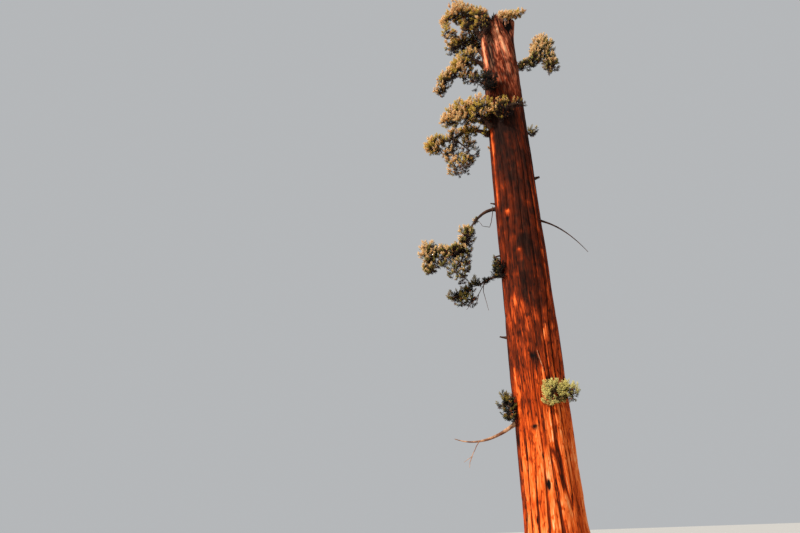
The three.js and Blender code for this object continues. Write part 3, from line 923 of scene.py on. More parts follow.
CLUMPS = {
    "foliage_top_left": clump_of(
        Lobe((-1.8, -0.8, 38.3), (0.9, 0.85, 0.88)),
        Lobe((-2.65, -0.95, 38.74), (0.98, 0.9, 0.98)),
        Lobe((-3.75, -0.95, 37.95), (0.5, 0.5, 0.55)),
        Lobe((-3.75, -0.95, 36.85), (0.48, 0.5, 0.75), open=True),
        Lobe((-0.95, -1.5, 37.4), (0.66, 0.52, 0.66), after=0, light=-0.15),
        Lobe((-2.1, -0.85, 37.05), (0.68, 0.5, 0.6), after=0, light=-0.2),
        Lobe((-3.2, -0.9, 36.8), (0.34, 0.45, 0.42), after=3, open=True),
        Lobe((-0.85, -1.68, 36.3), (0.58, 0.46, 0.82), after=4, light=-0.9),
        bough="bough_top_left", sleeves=((0.8, 0.5),), light=0.5,
    ),
    "foliage_upper_left": clump_of(
        Lobe((-2.15, 0.75, 37.15), (0.98, 0.8, 0.95)),
        Lobe((-3.25, 0.6, 36.85), (0.88, 0.75, 0.76)),
        bough="bough_upper_left", sleeves=((0.85, 0.45),), light=-0.25,
    ),
    "foliage_middle_left": clump_of(
        Lobe((-2.2, -0.5, 34.5), (0.95, 0.75, 0.72)),
        Lobe((-3.1, -0.6, 33.6), (0.84, 0.75, 0.8)),
        Lobe((-4.05, -0.7, 32.6), (0.72, 0.65, 0.7)),
        Lobe((-4.6, -0.75, 31.55), (0.42, 0.42, 0.55)),
        Lobe((-2.4, -0.35, 32.9), (0.78, 0.65, 0.78), after=1, open=True, light=-0.35),
        Lobe((-2.0, -0.5, 32.2), (0.62, 0.55, 0.75), after=4, open=True, light=-0.5),
        bough="bough_middle_left", sleeves=((0.85, 0.42),), light=0.12,
    ),
    "foliage_lower_left": clump_of(
        Lobe((-1.85, -1.35, 28.98), (1.08, 0.85, 1.12)),
        Lobe((-3.15, -1.25, 28.9), (1.05, 0.9, 1.1)),
        Lobe((-4.15, -1.05, 28.85), (0.62, 0.6, 0.62)),
        bough="bough_lower_left", sleeves=((0.85, 0.5),), light=0.6,
    ),
    "foliage_hanging_left": clump_of(
        Lobe((-3.95, 0.6, 28.15), (1.02, 0.7, 0.72)),
        Lobe((-5.4, 0.3, 27.65), (0.86, 0.75, 0.82)),
        Lobe((-4.15, 0.5, 26.9), (0.7, 0.7, 0.75), after=0),
        Lobe((-3.65, 0.4, 25.6), (0.95, 0.8, 0.8), open=True),
        Lobe((-2.9, 0.75, 27.0), (0.62, 0.62, 1.1), after=0, open=True),
        Lobe((-3.2, 0.5, 26.6), (0.6, 0.55, 0.8), after=4, open=True),
        bough="bough_hanging_left", sleeves=((0.62, 0.36), (0.8, 0.42), (0.95, 0.45)), light=0.05,
    ),
    "foliage_arching_left": clump_of(
        Lobe((-3.45, -0.5, 19.75), (0.64, 0.6, 0.7)),
        Lobe((-3.8, -0.5, 18.6), (0.62, 0.6, 0.66)),
        Lobe((-4.75, -0.6, 18.4), (0.84, 0.75, 0.68)),
        Lobe((-6.1, -0.8, 18.6), (0.72, 0.7, 0.82)),
        Lobe((-6.1, -0.8, 17.45), (0.52, 0.5, 0.6)),
        Lobe((-4.15, -0.4, 17.25), (0.82, 0.7, 0.88), after=1, open=True),
        Lobe((-5.3, -0.65, 17.95), (0.7, 0.6, 0.6), after=2, open=True),
        bough="bough_arching_left", sleeves=((0.95, 0.26),), palette=Palette.PALE, light=-0.05,
    ),
    "foliage_slim_left": clump_of(
        Lobe((-3.3, 0.6, 16.5), (0.5, 0.45, 0.45), open=True),
        Lobe((-4.3, 0.9, 15.9), (0.92, 0.65, 0.6)),
        Lobe((-3.9, 0.75, 15.4), (0.6, 0.5, 0.45), open=True),
        bough="bough_slim_left", sleeves=((0.62, 0.2), (0.82, 0.26)), palette=Palette.DARK, light=0.05,
    ),
    "foliage_right": clump_of(
        Lobe((1.8, 0.25, 33.5), (0.68, 0.55, 0.5), light=-0.8),
        Lobe((2.65, 0.35, 33.95), (0.62, 0.5, 0.55), light=-0.3),
        Lobe((3.3, 0.5, 35.25), (0.95, 0.85, 0.95)),
        Lobe((3.75, 0.6, 33.6), (0.66, 0.65, 0.98)),
        root=(33.3, 8), thick=0.3, palette=Palette.PALE, light=0.35,
    ),
    "foliage_broken_top": clump_of(
        Lobe((0.66, -0.75, 37.5), (0.62, 0.5, 0.5)),
        Lobe((1.25, -0.65, 37.7), (0.62, 0.5, 0.46)),
        Lobe((2.1, -0.35, 38.1), (0.3, 0.3, 0.34), open=True),
        crater=(0.3, -0.2), thick=0.24, light=0.85,
    ),
    "foliage_front_upper": clump_of(
        Lobe((-0.98, -1.92, 31.0), (0.74, 0.62, 0.8)),
        root=(30.6, 238), thick=0.22, palette=Palette.DARK, light=-0.8,
    ),
    "foliage_front_band": clump_of(
        Lobe((-0.22, -1.98, 28.4), (0.8, 0.52, 0.76), light=-0.35),
        Lobe((0.85, -1.85, 28.55), (0.64, 0.45, 0.42)),
        root=(27.9, 268), thick=0.24, light=-0.1,
    ),
    "foliage_right_sprig": clump_of(
        Lobe((1.72, 0.05, 27.33), (0.32, 0.32, 0.52), open=True),
        root=(27.0, 2), thick=0.1, palette=Palette.GREEN,
    ),
    "foliage_left_sprig": clump_of(
        Lobe((-1.58, -0.55, 27.6), (0.27, 0.3, 0.52), open=True),
        root=(27.5, 198), thick=0.1, palette=Palette.GREEN,
    ),
    "foliage_left_collar": clump_of(
        Lobe((-1.74, -0.6, 17.0), (0.32, 0.42, 0.8)),
        Lobe((-1.5, -1.05, 16.7), (0.34, 0.34, 0.65)),
        root=(16.85, 196), thick=0.16, palette=Palette.DARK, light=-0.35,
    ),
    "foliage_low_right": clump_of(
        Lobe((0.8, -2.0, 8.5), (0.74, 0.5, 0.74)),
        Lobe((1.65, -1.65, 8.48), (0.58, 0.52, 0.66)),
        root=(8.2, 296), thick=0.22, palette=Palette.FRESH, light=0.5,
    ),
    "foliage_low_left": clump_of(
        Lobe((-2.0, -0.5, 8.15), (0.5, 0.5, 0.9)),
        Lobe((-1.7, -0.95, 7.85), (0.4, 0.4, 0.75)),
        root=(8.0, 190), thick=0.18, palette=Palette.DARK,
    ),
    "foliage_top_back": far_clump(
        "bough_top_back",
        Lobe((-0.25, 2.2, 36.6), (0.95, 0.85, 0.8)),
        Lobe((-0.35, 3.3, 36.3), (0.8, 0.8, 0.75)),
    ),
    "foliage_upper_back": far_clump(
        "bough_upper_back",
        Lobe((0.45, 2.4, 33.0), (0.9, 0.85, 0.8)),
        Lobe((0.6, 3.6, 32.6), (0.8, 0.75, 0.72)),
    ),
    "foliage_middle_back": far_clump(
        "bough_middle_back",
        Lobe((-0.5, 2.6, 29.3), (0.9, 0.85, 0.8)),
        Lobe((-0.7, 3.75, 28.9), (0.85, 0.7, 0.75)),
    ),
    "foliage_lower_back": far_clump(
        "bough_lower_back",
        Lobe((0.15, 2.95, 24.5), (0.85, 0.75, 0.72)),
        Lobe((0.2, 3.8, 23.6), (0.7, 0.6, 0.75)),
    ),
    "foliage_low_back": clump_of(
        Lobe((0.4, 2.15, 16.25), (0.62, 0.58, 0.6)),
        root=(15.9, 78), thick=0.18, palette=Palette.GREEN,
    ),
}


@dataclass(frozen=True)
class Mark:
    """A knot, burl, hollow, burn or streak on the trunk, or a patch of painted shade or sunlight on it.

    Attributes:
        height: The height of its middle.
        bearing: Its bearing in degrees.
        wide: Half its width.
        tall: Half its height.
        out: How far it stands out, or in where it is below 0.
        char: How charred it is, and under the burl how black its painted shadow is.
        tone: How much darker it is, or brighter where it is below 0; it carries painted sunlight and shade too.
    """

    height: float
    bearing: float
    wide: float
    tall: float
    out: float = 0.0
    char: float = 0.0
    tone: float = 0.0


MARKS = (
    # Knots, pits and burls.
    Mark(20.5, 244, 0.15, 0.18, out=0.07, tone=-0.66),
    # Painted shadow under the burl above, laid on as char in a shallow dip.
    Mark(20.0, 242, 0.3, 0.2, out=-0.03, char=0.7),
    Mark(17.6, 262, 0.11, 0.14, out=0.03, tone=-0.5),
    Mark(12.23, 241, 0.18, 0.36, out=-0.03, char=0.6),
    Mark(10.72, 266, 0.34, 0.34, out=-0.03, char=0.7),
    Mark(6.6, 253, 0.32, 0.2, out=0.05, char=0.75),
    Mark(6.9, 262, 0.05, 0.2, char=0.6),
    Mark(5.0, 262, 0.07, 0.22, out=-0.02, char=0.8),
    Mark(3.6, 281, 0.07, 0.26, out=-0.02, char=0.75),
    Mark(2.0, 214, 0.08, 0.26, out=-0.02, char=0.8),
    Mark(1.7, 237, 0.06, 0.3, char=0.65),
    Mark(6.0, 254, 0.2, 0.5, out=0.03, tone=-0.1),
    Mark(3.5, 267, 0.12, 0.34, out=-0.12, char=1.0),
    Mark(1.6, 100, 0.5, 1.5, out=-0.16, char=1.0),
    # The hollow under the rim, blackened inside, and the torn wood beside it.
    Mark(36.95, 322, 0.52, 0.58, out=-0.22, char=1.7),
    Mark(36.6, 286, 0.12, 0.24, out=-0.05, char=0.7),
    Mark(36.8, 272, 0.3, 0.36, tone=-0.3),
    # The bright streak that runs down and round from it, painted sunlight on a ridge of the bark.
    Mark(36.0, 272, 0.22, 0.5, tone=-0.5),
    Mark(35.2, 281, 0.28, 0.5, tone=-0.42),
    Mark(34.5, 291, 0.3, 0.5, tone=-0.44),
    Mark(33.7, 299, 0.28, 0.6, tone=-0.36),
    Mark(32.6, 296, 0.24, 0.7, tone=-0.22),
    # A dark, blackened patch just under the rim in front.
    Mark(37.5, 262, 0.6, 0.45, char=0.5, tone=0.35),
    # Painted shadow of the foliage above on the band to its left, and painted shade on the edge to its right.
    Mark(35.7, 240, 0.34, 0.8, out=-0.03, tone=0.58),
    Mark(34.3, 242, 0.34, 0.9, out=-0.03, tone=0.58),
    Mark(33.0, 243, 0.3, 0.7, tone=0.46),
    Mark(35.0, 344, 0.2, 0.9, out=-0.03, tone=0.4),
    Mark(33.4, 335, 0.14, 0.9, tone=0.3),
    # Painted sunlight in strips on the left with a dark line between them, and a paler band and strips on the right.
    Mark(35.6, 206, 0.22, 0.9, tone=-0.42),
    Mark(34.4, 213, 0.22, 0.9, tone=-0.46),
    Mark(33.3, 222, 0.2, 0.7, tone=-0.4),
    Mark(27.2, 212, 0.34, 1.4, tone=-0.5),
    Mark(24.8, 213, 0.3, 2.0, tone=-0.36),
    Mark(26.0, 190, 0.12, 3.0, tone=0.3),
    Mark(21.9, 214, 0.1, 1.1, tone=-0.3),
    Mark(31.2, 311, 0.34, 1.2, tone=-0.14),
    Mark(27.0, 310, 0.36, 2.2, tone=-0.2),
    Mark(25.5, 325, 0.05, 3.5, tone=-0.34),
    Mark(20.6, 321, 0.04, 3.0, tone=-0.36),
    Mark(17.4, 326, 0.05, 2.4, tone=-0.34),
    Mark(22.8, 335, 0.05, 2.6, tone=-0.28),
    # Painted shadow of the front clumps on the bark under them, and darker patches lower down.
    Mark(28.4, 258, 1.0, 1.3, tone=0.14),
    Mark(26.0, 250, 0.55, 2.4, tone=0.1),
    Mark(18.2, 269, 0.5, 0.35, tone=0.14),
    Mark(14.7, 280, 0.6, 0.8, tone=0.14),
    Mark(10.4, 272, 0.3, 0.3, tone=0.25),
    Mark(8.5, 246, 0.3, 0.8, tone=0.1),
    Mark(5.6, 268, 0.16, 0.4, tone=0.2),
    # Painted shade over the lower right side, which faces away from the sun.
    Mark(2.6, 316, 0.8, 3.4, tone=0.12),
    # Orange patches where the dark bark and painted shade give way, pale ridges below, and painted shade on the left
    # edge.
    Mark(14.3, 239, 0.16, 0.4, tone=-0.34),
    Mark(13.6, 254, 0.24, 0.4, tone=-0.26),
    Mark(12.7, 264, 0.2, 0.6, tone=-0.18),
    Mark(13.1, 283, 0.2, 0.5, tone=-0.22),
    Mark(12.2, 297, 0.2, 0.7, tone=-0.24),
    Mark(9.0, 220, 0.14, 1.8, tone=-0.22),
    Mark(4.4, 193, 0.4, 4.6, tone=0.5),
    Mark(13.0, 191, 0.32, 5.5, tone=0.3),
    Mark(9.8, 281, 0.1, 0.9, tone=-0.24),
    Mark(6.2, 278, 0.1, 1.2, tone=-0.16),
)


@dataclass(frozen=True)
class BarkRelief:
    """How the bark is furrowed.

    Edges are the values between which a net of furrows or creases appears, and calm gives heights and how strong the
    creases are there.
    """

    wander: float = 0.03
    wander_scale: Point = (1.6, 1.6, 0.4)
    furrow_width: float = 0.045
    furrow_spread: Pair = (0.7, 0.6)
    furrow_breaks: Point = (0.8, 0.8, 0.14)
    furrow_edges: Pair = (-0.35, 0.4)
    furrow_cut: float = 1.4
    ridge_body: Pair = (0.35, 0.4)
    crease_depth: float = 0.045
    crease_width: float = 0.09
    crease_scale: Point = (3.1, 3.1, 0.26)
    crease_edges: Pair = (-0.4, 0.4)
    crease_shade: float = 0.8
    crack_depth: float = 0.02
    crack_width: float = 0.14
    crack_scale: Point = (5.0, 5.0, 0.55)
    crack_shade: float = 0.35
    fibre_depth: float = 0.008
    fibre_scale: Point = (14.0, 14.0, 1.1)
    plate_depth: float = 0.025
    plate_scale: Point = (1.2, 1.2, 0.4)
    calm: Profile = ((9.0, 12.0, 26.0, 30.0), (1.0, 0.55, 0.5, 0.7))

    def shape(self, grain: Array, height: Array) -> tuple[Array, Array]:
        """Works out the relief.

        Args:
            grain: The angle along the grain.
            height: The height.

        Returns:
            How far the bark stands out of the stem, and how deep in a furrow it lies, from 0 to 1.
        """
        places = unrolled(grain, height, TRUNK.radius)
        phase = TRUNK.ridges * (grain + self.wander * noise(places, self.wander_scale, Seed.WANDER))
        aside = np.abs(np.angle(-np.exp(1j * phase))) / TRUNK.ridges * TRUNK.radius
        strength = smoothstep(*self.furrow_edges, noise(places, self.furrow_breaks, Seed.FURROW_BREAK))
        narrow, gain = self.furrow_spread
        width = self.furrow_width * (narrow + gain * strength)
        furrow = strength * np.exp(-((aside / width) ** 2))
        crease = creases(places, self.crease_scale, self.crease_width, Seed.CREASE)
        crease = crease * smoothstep(*self.crease_edges, noise(places, self.plate_scale, Seed.CREASE_BREAK))
        crack = creases(places, self.crack_scale, self.crack_width, Seed.CRACK)
        calm = np.interp(height, *self.calm)
        crease, crack = crease * calm, crack * calm
        body, swing = self.ridge_body
        out = TRUNK.ridge_size(grain) * (body + swing * np.cos(phase) - self.furrow_cut * furrow)
        out = out - self.crease_depth * crease - self.crack_depth * crack
        out += self.fibre_depth * noise(places, self.fibre_scale, Seed.FIBRE)
        out += self.plate_depth * noise(places, self.plate_scale, Seed.PLATE)
        return out, np.clip(furrow * strength + self.crease_shade * crease + self.crack_shade * crack, 0, 1)


@dataclass
class Trunk:
    """The trunk's bark from the ground to the rim, and the torn wood of the crater within it.

    The profiles play and furrow_shade, and the profile of how dark the bark is painted, give heights and the values
    there. Over the middle of the trunk that darkness holds the crown's painted shade as well as the bark's own
    darker tone. Silver bark rises between pairs of heights, and so does blotchy bark, which fades again between a
    second pair.
    """

    sides: int = 540
    cuts: tuple[int, int] = (10, 14)
    ring_crowding: float = 1.2
    crater_rings: int = 12
    bowl_power: float = 2.2
    bowl_sunk: float = 0.05
    shard_depth: float = 0.07
    shard_scale: Point = (22, 22, 1.5)
    crater_char: Pair = (0.9, 0.45)
    break_height: float = 34.6
    lean_power: float = 1.5
    tooth: float = 0.3
    tooth_scale: Point = (9, 9, 1)
    chip: float = 0.18
    chip_scale: Point = (24, 24, 1)
    notch: float = 0.3
    notch_width: float = 0.12
    notch_scale: Point = (7, 7, 1)
    play: Profile = ((0, 6, 9, 12, 16, 20, 26, 33, 38), (0.56, 0.56, 0.7, 0.75, 0.55, 0.34, 0.42, 0.52, 0.52))
    # How dark the bark is painted by height; the dark middle holds the crown's painted shade and the bark's own tone.
    darkness_and_crown_shade: Profile = (
        (0, 5, 8, 11, 14, 17, 24, 28, 30, 33, 38),
        (0.25, 0.27, 0.42, 0.57, 0.63, 0.69, 0.76, 0.95, 0.69, 0.61, 0.57),
    )
    furrow_shade: Profile = ((0, 9, 12, 22, 26, 40), (1, 1, 0.45, 0.3, 0.5, 0.55))
    silver: tuple[tuple[float, Pair], ...] = ((0.2, (8.0, 13.0)), (2.9, (27.5, 33.0)))
    drifts: tuple[Drift, ...] = (
        (0.11, (1.3, 1.3, 0.17), Seed.BROAD_DRIFT),
        (0.1, (3.2, 3.2, 0.45), Seed.FINE_DRIFT),
    )
    blotches: tuple[Drift, ...] = ((0.14, (5, 5, 2), Seed.BROAD_BLOTCH), (0.1, (9, 9, 4.5), Seed.FINE_BLOTCH))
    blotchy: Pair = (11, 14)
    plain: Pair = (28, 31)
    relief: BarkRelief = field(default_factory=BarkRelief)

    def build(self) -> None:
        """Models and dresses the trunk and the splinters on it."""
        piece = self._model()
        self._shape(piece)
        wood = BrokenWoodFinish().material()
        Workbench.dress(piece, Slot.TRUNK_BARK, "trunk", TrunkBarkFinish().material(), wood, smooth=True)
        Splinters().build(wood)

    def _model(self) -> bpy.types.Object:
        """Makes a drum with many rings, and a fan of rings in its top for the crater.

        Returns:
            The drum, 1 high and 1 in radius.
        """
        Workbench.clear_selection()
        bpy.ops.mesh.primitive_cylinder_add(vertices=self.sides, radius=1, depth=1, location=(0, 0, 0.5))
        bpy.ops.object.transform_apply(location=True, rotation=False, scale=False)
        piece = bpy.context.active_object
        piece.name = "trunk_bark"
        for cuts in self.cuts:
            Workbench.select_parts(piece, "EDGE", self._upright(piece))
            bpy.ops.mesh.subdivide(number_cuts=cuts)
            bpy.ops.object.mode_set(mode="OBJECT")
        Workbench.select_parts(piece, "FACE", self._cap(piece, 1))
        rings = self.crater_rings + 1
        for ring in range(self.crater_rings):
            shrunk = (1 - (ring + 1) / rings) / (1 - ring / rings)
            bpy.ops.mesh.extrude_region_move()
            bpy.ops.transform.resize(value=(shrunk, shrunk, 1), center_override=(0, 0, 1))
        bpy.ops.mesh.poke()
        bpy.ops.object.mode_set(mode="OBJECT")
        Workbench.select_parts(piece, "FACE", self._cap(piece, -1))
        bpy.ops.mesh.poke()
        bpy.ops.object.mode_set(mode="OBJECT")
        return piece

    @staticmethod
    def _upright(piece: bpy.types.Object) -> Array:
        """Finds the edges that run up the drum."""
        ends = np.empty(len(piece.data.edges) * 2, dtype=np.int32)
        piece.data.edges.foreach_get("vertices", ends)
        height = Workbench.places(piece)[ends.reshape(-1, 2), 2]
        return np.abs(height[:, 0] - height[:, 1]) > SMALL

    @staticmethod
    def _cap(piece: bpy.types.Object, way: int) -> Array:
        """Finds the one face that closes the drum's top, where way is 1, or its foot, where way is -1."""
        return np.array([face.normal.z * way > 0.9 and len(face.vertices) > 4 for face in piece.data.polygons])

    def _shape(self, piece: bpy.types.Object) -> None:
        """Moves the drum's points to the tree's form and notes what its materials read.

        Args:
            piece: The drum.
        """
        drum = Workbench.places(piece)
        across = np.hypot(drum[:, 0], drum[:, 1])
        grain = np.arctan2(drum[:, 1], drum[:, 0])
        in_crater = (drum[:, 2] > 1 - SMALL) & (across < 1 - SMALL)
        height = TRUNK.height * drum[:, 2] ** self.ring_crowding
        angle = grain - TRUNK.grain_turn(height) - TRUNK.sway(grain, height)
        out, furrow = self.relief.shape(grain, height)
        lift = smoothstep(self.break_height, TRUNK.height, height)
        level = height + lift * (TOP.rim(angle) + self._tears(angle) - TRUNK.height)
        marks = self._marks(grain, height)
        radius = TRUNK.stem(height, angle) + out + TOP.leaning(angle) * lift**self.lean_power + marks["out"]
        radius, level = self._crater(across, angle, radius, level, in_crater)
        radius[(drum[:, 2] < SMALL) & (across < SMALL)] = 0
        Workbench.move_to(piece, unrolled(angle, level, radius))
        notes = {
            "furrow": np.where(in_crater, 0, furrow * np.interp(height, *self.furrow_shade)),
            "tone": self._tone(grain, height) + marks["tone"],
            "play": np.interp(height, *self.play),
            "silver": sum(size * smoothstep(*heights, height) for size, heights in self.silver),
            "char": np.where(in_crater, smoothstep(*self.crater_char, across), marks["char"]),
            "grain": unrolled(grain, level, TRUNK.radius),
        }
        for name, values in notes.items():
            Workbench.note(piece, name, values)
        faces = np.array([in_crater[face.vertices].any() for face in piece.data.polygons])
        piece.data.polygons.foreach_set("material_index", faces.astype(np.int32))

    def _tears(self, angle: Array) -> Array:
        """Gives how far the fine teeth of the torn rim stand above it at each angle."""
        ring = unrolled(angle, np.zeros_like(angle))
        teeth = self.tooth * np.abs(noise(ring, self.tooth_scale, Seed.TOOTH))
        chips = self.chip * noise(ring, self.chip_scale, Seed.CHIP)
        return teeth + chips - self.notch * creases(ring, self.notch_scale, self.notch_width, Seed.NOTCH)

    def _crater(
        self, across: Array, angle: Array, radius: Array, level: Array, inside: Array
    ) -> tuple[Array, Array]:
        """Hollows the top: a thick torn wall, then a bowl.

        Args:
            across: How far out a point lies on the drum, from 0 to 1.
            angle: The angle round the trunk.
            radius: The radius of the rim at that angle.
            level: The height of the rim at that angle.
            inside: True for the points of the crater.

        Returns:
            The radius and height of every point.
        """
        floor = TRUNK.height - TOP.crater
        shards = self.shard_depth * noise(unrolled(angle, across), self.shard_scale, Seed.SHARD)
        inner = (radius - TOP.wall) * across + shards * across
        bowl = floor + (level - self.bowl_sunk - floor) * across**self.bowl_power
        return np.where(inside, inner, radius), np.where(inside, bowl, level)

    def _tone(self, grain: Array, height: Array) -> Array:
        """Tells how dark the bark is painted: bright near the ground, dark in the middle, mixed at the top.

        The dark middle holds the crown's painted shade as well as the bark's own darker tone.

        Args:
            grain: The angle along the grain.
            height: The height.

        Returns:
            The place on the scale of tones, where 0 is the palest.
        """
        places = unrolled(grain, height)
        blotchy = smoothstep(*self.blotchy, height) * (1 - smoothstep(*self.plain, height))
        drift, blotches = (
            sum(size * noise(places, scale, seed) for size, scale, seed in layers)
            for layers in (self.drifts, self.blotches)
        )
        return drift + blotchy * blotches + np.interp(height, *self.darkness_and_crown_shade)

    @staticmethod
    def _marks(grain: Array, height: Array) -> dict[str, Array]:
        """Adds up what the marks, which lie along the grain, do to each point.

        Args:
            grain: The angle along the grain.
            height: The height.

        Returns:
            How far the bark stands out, how charred it is and how much darker it is, painted shade and sunlight
            included.
        """
        found = {name: np.zeros_like(height) for name in ("out", "char", "tone")}
        for mark in MARKS:
            middle = TRUNK.grain_at(np.float64(mark.height), np.float64(math.radians(mark.bearing)))
            aside = np.angle(np.exp(1j * (grain - middle))) * TRUNK.radius
            spread = np.exp(-((aside / mark.wide) ** 2) - ((height - mark.height) / mark.tall) ** 2)
            for name in found:
                found[name] += getattr(mark, name) * spread
        return found


@dataclass(frozen=True)
class Splinters:
    """Thin splinters along the torn rim, and one strip that has peeled off lower down.

    A pair gives the least of a size and how much more it may be.
    """

    count: int = 70
    inset: float = 0.05
    wall_spare: float = 0.08
    rise: Pair = (0.12, 0.34)
    teeth: float = 0.12
    foot_depth: float = 0.4
    aim: float = 5.0
    lean: float = 0.1
    radius: Pair = (0.035, 0.04)
    taper: Point = (1.0, 0.8, 0.1)
    strip: tuple[Point, ...] = ((11.0, 275.6, 1.61), (10.4, 279.2, 1.66), (9.65, 285.8, 1.62))
    strip_radii: Point = (0.02, 0.028, 0.012)
    char_scale: Point = (2.0, 2.0, 0.6)
    char_edges: Pair = (0.1, 0.7)

    def build(self, wood: bpy.types.Material) -> None:
        """Models and dresses the splinters and the strip.

        Args:
            wood: The torn wood's material.
        """
        number = np.arange(self.count)
        angle = 2 * math.pi * (number + scatter(Seed.SPLINTER_TURN, number)) / self.count
        inset = self.inset + (TOP.wall - self.wall_spare) * scatter(Seed.SPLINTER_INSET, number)
        rise = self.rise[0] + self.rise[1] * scatter(Seed.SPLINTER_RISE, number) ** 2
        lines = [self._line(place, angle[place], inset[place], rise[place]) for place in number]
        lines.append((np.array([on_bearing(*corner) for corner in self.strip]), np.array(self.strip_radii)))
        piece = Workbench.tubes("rim_splinters", lines, 1)
        places = Workbench.places(piece)
        char = smoothstep(*self.char_edges, noise(places, self.char_scale, Seed.SPLINTER_CHAR))
        Workbench.note(piece, "char", char)
        Workbench.note(piece, "grain", places)
        Workbench.dress(piece, Slot.TRUNK_BARK, "trunk", wood)

    def _line(self, number: int, angle: float, inset: float, rise: float) -> tuple[Array, Array]:
        """Runs one splinter up from the rim.

        Args:
            number: Its number.
            angle: Its angle round the trunk.
            inset: How far in from the bark it stands.
            rise: How far it stands above the rim.

        Returns:
            Its points and radii.
        """
        rim = float(TOP.rim(angle)) + self.teeth
        far = float(TRUNK.stem(np.float64(TRUNK.height), angle)) + float(TOP.leaning(angle)) - inset
        bearing = math.degrees(angle)
        foot = on_bearing(rim - self.foot_depth, bearing, far)
        turned = bearing + self.aim * (scatter(Seed.SPLINTER_AIM, number) - 0.5)
        tip = on_bearing(rim + rise, turned, far + self.lean * scatter(Seed.SPLINTER_LEAN, number))
        thick = self.radius[0] + self.radius[1] * float(scatter(Seed.SPLINTER_RADIUS, number))
        return np.array((foot, (foot + tip) / 2, tip)), thick * np.array(self.taper)


class LimbSkins:
    """The materials of limbs with bark and of those without, made once for all of them."""

    def __init__(self) -> None:
        """Makes both materials."""
        self.barked = LimbBarkFinish().material()
        self.bleached = DeadWoodFinish().material()

    def of(self, limb: Limb) -> bpy.types.Material:
        """Picks a limb's material."""
        return self.bleached if limb.bleached else self.barked


@dataclass
class Limbs:
    """The bark of the boughs and snags, each with a collar where it leaves the trunk."""

    skins: LimbSkins
    steps: int = 60
    roundness: int = 9
    sunk: float = 0.16
    collar: float = 0.5
    collar_length: float = 0.22
    lump: float = 0.1
    lump_scale: Point = (3.2, 3.2, 3.2)
    flake: float = 0.05
    flake_scale: Point = (15.0, 15.0, 15.0)
    furrow_gain: float = 1.1
    furrow_start: float = 0.1

    def build(self) -> None:
        """Models and dresses every limb."""
        for number, (name, limb) in enumerate({**BOUGHS, **SNAGS}.items()):
            piece = self._model(name, limb, number)
            Workbench.dress(piece, Slot.LIMB_BARK, name, self.skins.of(limb), smooth=True)

    def _model(self, name: str, limb: Limb, seed: int) -> bpy.types.Object:
        """Makes one limb as a tube and roughens its bark.

        Args:
            name: Its node's name.
            limb: Its sizes.
            seed: Picks its bark's pattern.

        Returns:
            The mesh object.
        """
        points = limb.line(self.steps)
        radii = limb.radii(self.steps)
        angle = np.arctan2(points[:, 1], points[:, 0])
        clear = np.hypot(points[:, 0], points[:, 1]) - TRUNK.surface(points[:, 2], angle)
        shown = clear > -self.sunk
        radii = radii * (1 + self.collar * np.exp(-np.maximum(clear, 0) / self.collar_length))
        piece = Workbench.tubes(f"{name}_bark", [(points[shown], radii[shown])], self.roundness)
        places = Workbench.places(piece)
        nearest = np.argmin(np.linalg.norm(places[:, None] - points[None], axis=2), axis=1)
        lumps = noise(places, self.lump_scale, seed + Seed.LIMB_LUMP)
        flakes = noise(places, self.flake_scale, seed + Seed.LIMB_FLAKE)
        out = radii[nearest] * (self.lump * lumps + self.flake * flakes)
        Workbench.move_to(piece, places + Workbench.normals(piece) * out[:, None])
        Workbench.note(piece, "furrow", np.clip(-flakes * self.furrow_gain - self.furrow_start, 0, 1))
        return piece


@dataclass
class DeadTwigs:
    """The thin dead twigs that hang from the left boughs."""

    skins: LimbSkins
    radius: float = 0.028
    tip: float = 0.01
    stops: int = 5
    kink: float = 0.05
    kink_scale: Point = (2.5, 2.5, 2.5)
    on_arching: tuple[tuple[Point, ...], ...] = (
        ((-1.6, -0.2, 21.6), (-1.8, -0.3, 20.38), (-1.98, -0.35, 20.03), (-2.38, -0.4, 20.16), (-2.66, -0.4, 20.6)),
    )
    on_slim: tuple[tuple[Point, ...], ...] = (
        ((-2.75, 0.4, 16.5), (-2.83, 0.4, 15.78), (-2.7, 0.3, 15.08), (-2.54, 0.2, 14.37)),
        ((-2.52, 0.35, 16.6), (-3.17, 0.4, 15.64), (-3.76, 0.45, 14.96), (-4.05, 0.5, 14.66)),
        ((-3.17, 0.4, 15.64), (-3.3, 0.3, 15.1), (-3.5, 0.3, 14.7)),
    )
    on_bare: tuple[tuple[Point, ...], ...] = (
        ((-3.75, -0.75, 6.1), (-4.22, -0.9, 5.29), (-4.7, -1.0, 4.98)),
        ((-4.22, -0.9, 5.29), (-4.4, -0.85, 5.0), (-4.45, -0.8, 4.7)),
    )

    def build(self) -> None:
        """Models and dresses the twigs of each bough."""
        twigs = {
            "bough_arching_left": self.on_arching, "bough_slim_left": self.on_slim, "bough_bare_low_left": self.on_bare
        }
        for name, rows in twigs.items():
            piece = Workbench.tubes(f"{name}_dead_twigs", [self._line(np.array(corners)) for corners in rows], 1)
            Workbench.note(piece, "furrow", np.zeros(len(piece.data.vertices)))
            Workbench.dress(piece, Slot.LIMB_BARK, name, self.skins.of(BOUGHS[name]))

    def _line(self, corners: Array) -> tuple[Array, Array]:
        """Runs a kinked line through a twig's corners, with its radii."""
        share = np.linspace(0, len(corners) - 1, self.stops * len(corners))
        line = np.stack([np.interp(share, np.arange(len(corners)), corners[:, axis]) for axis in range(3)], axis=1)
        kinks = np.stack([noise(line, self.kink_scale, Seed.TWIG_KINK + axis) for axis in range(3)], axis=1)
        return line + self.kink * kinks, np.linspace(self.radius, self.tip, len(line))


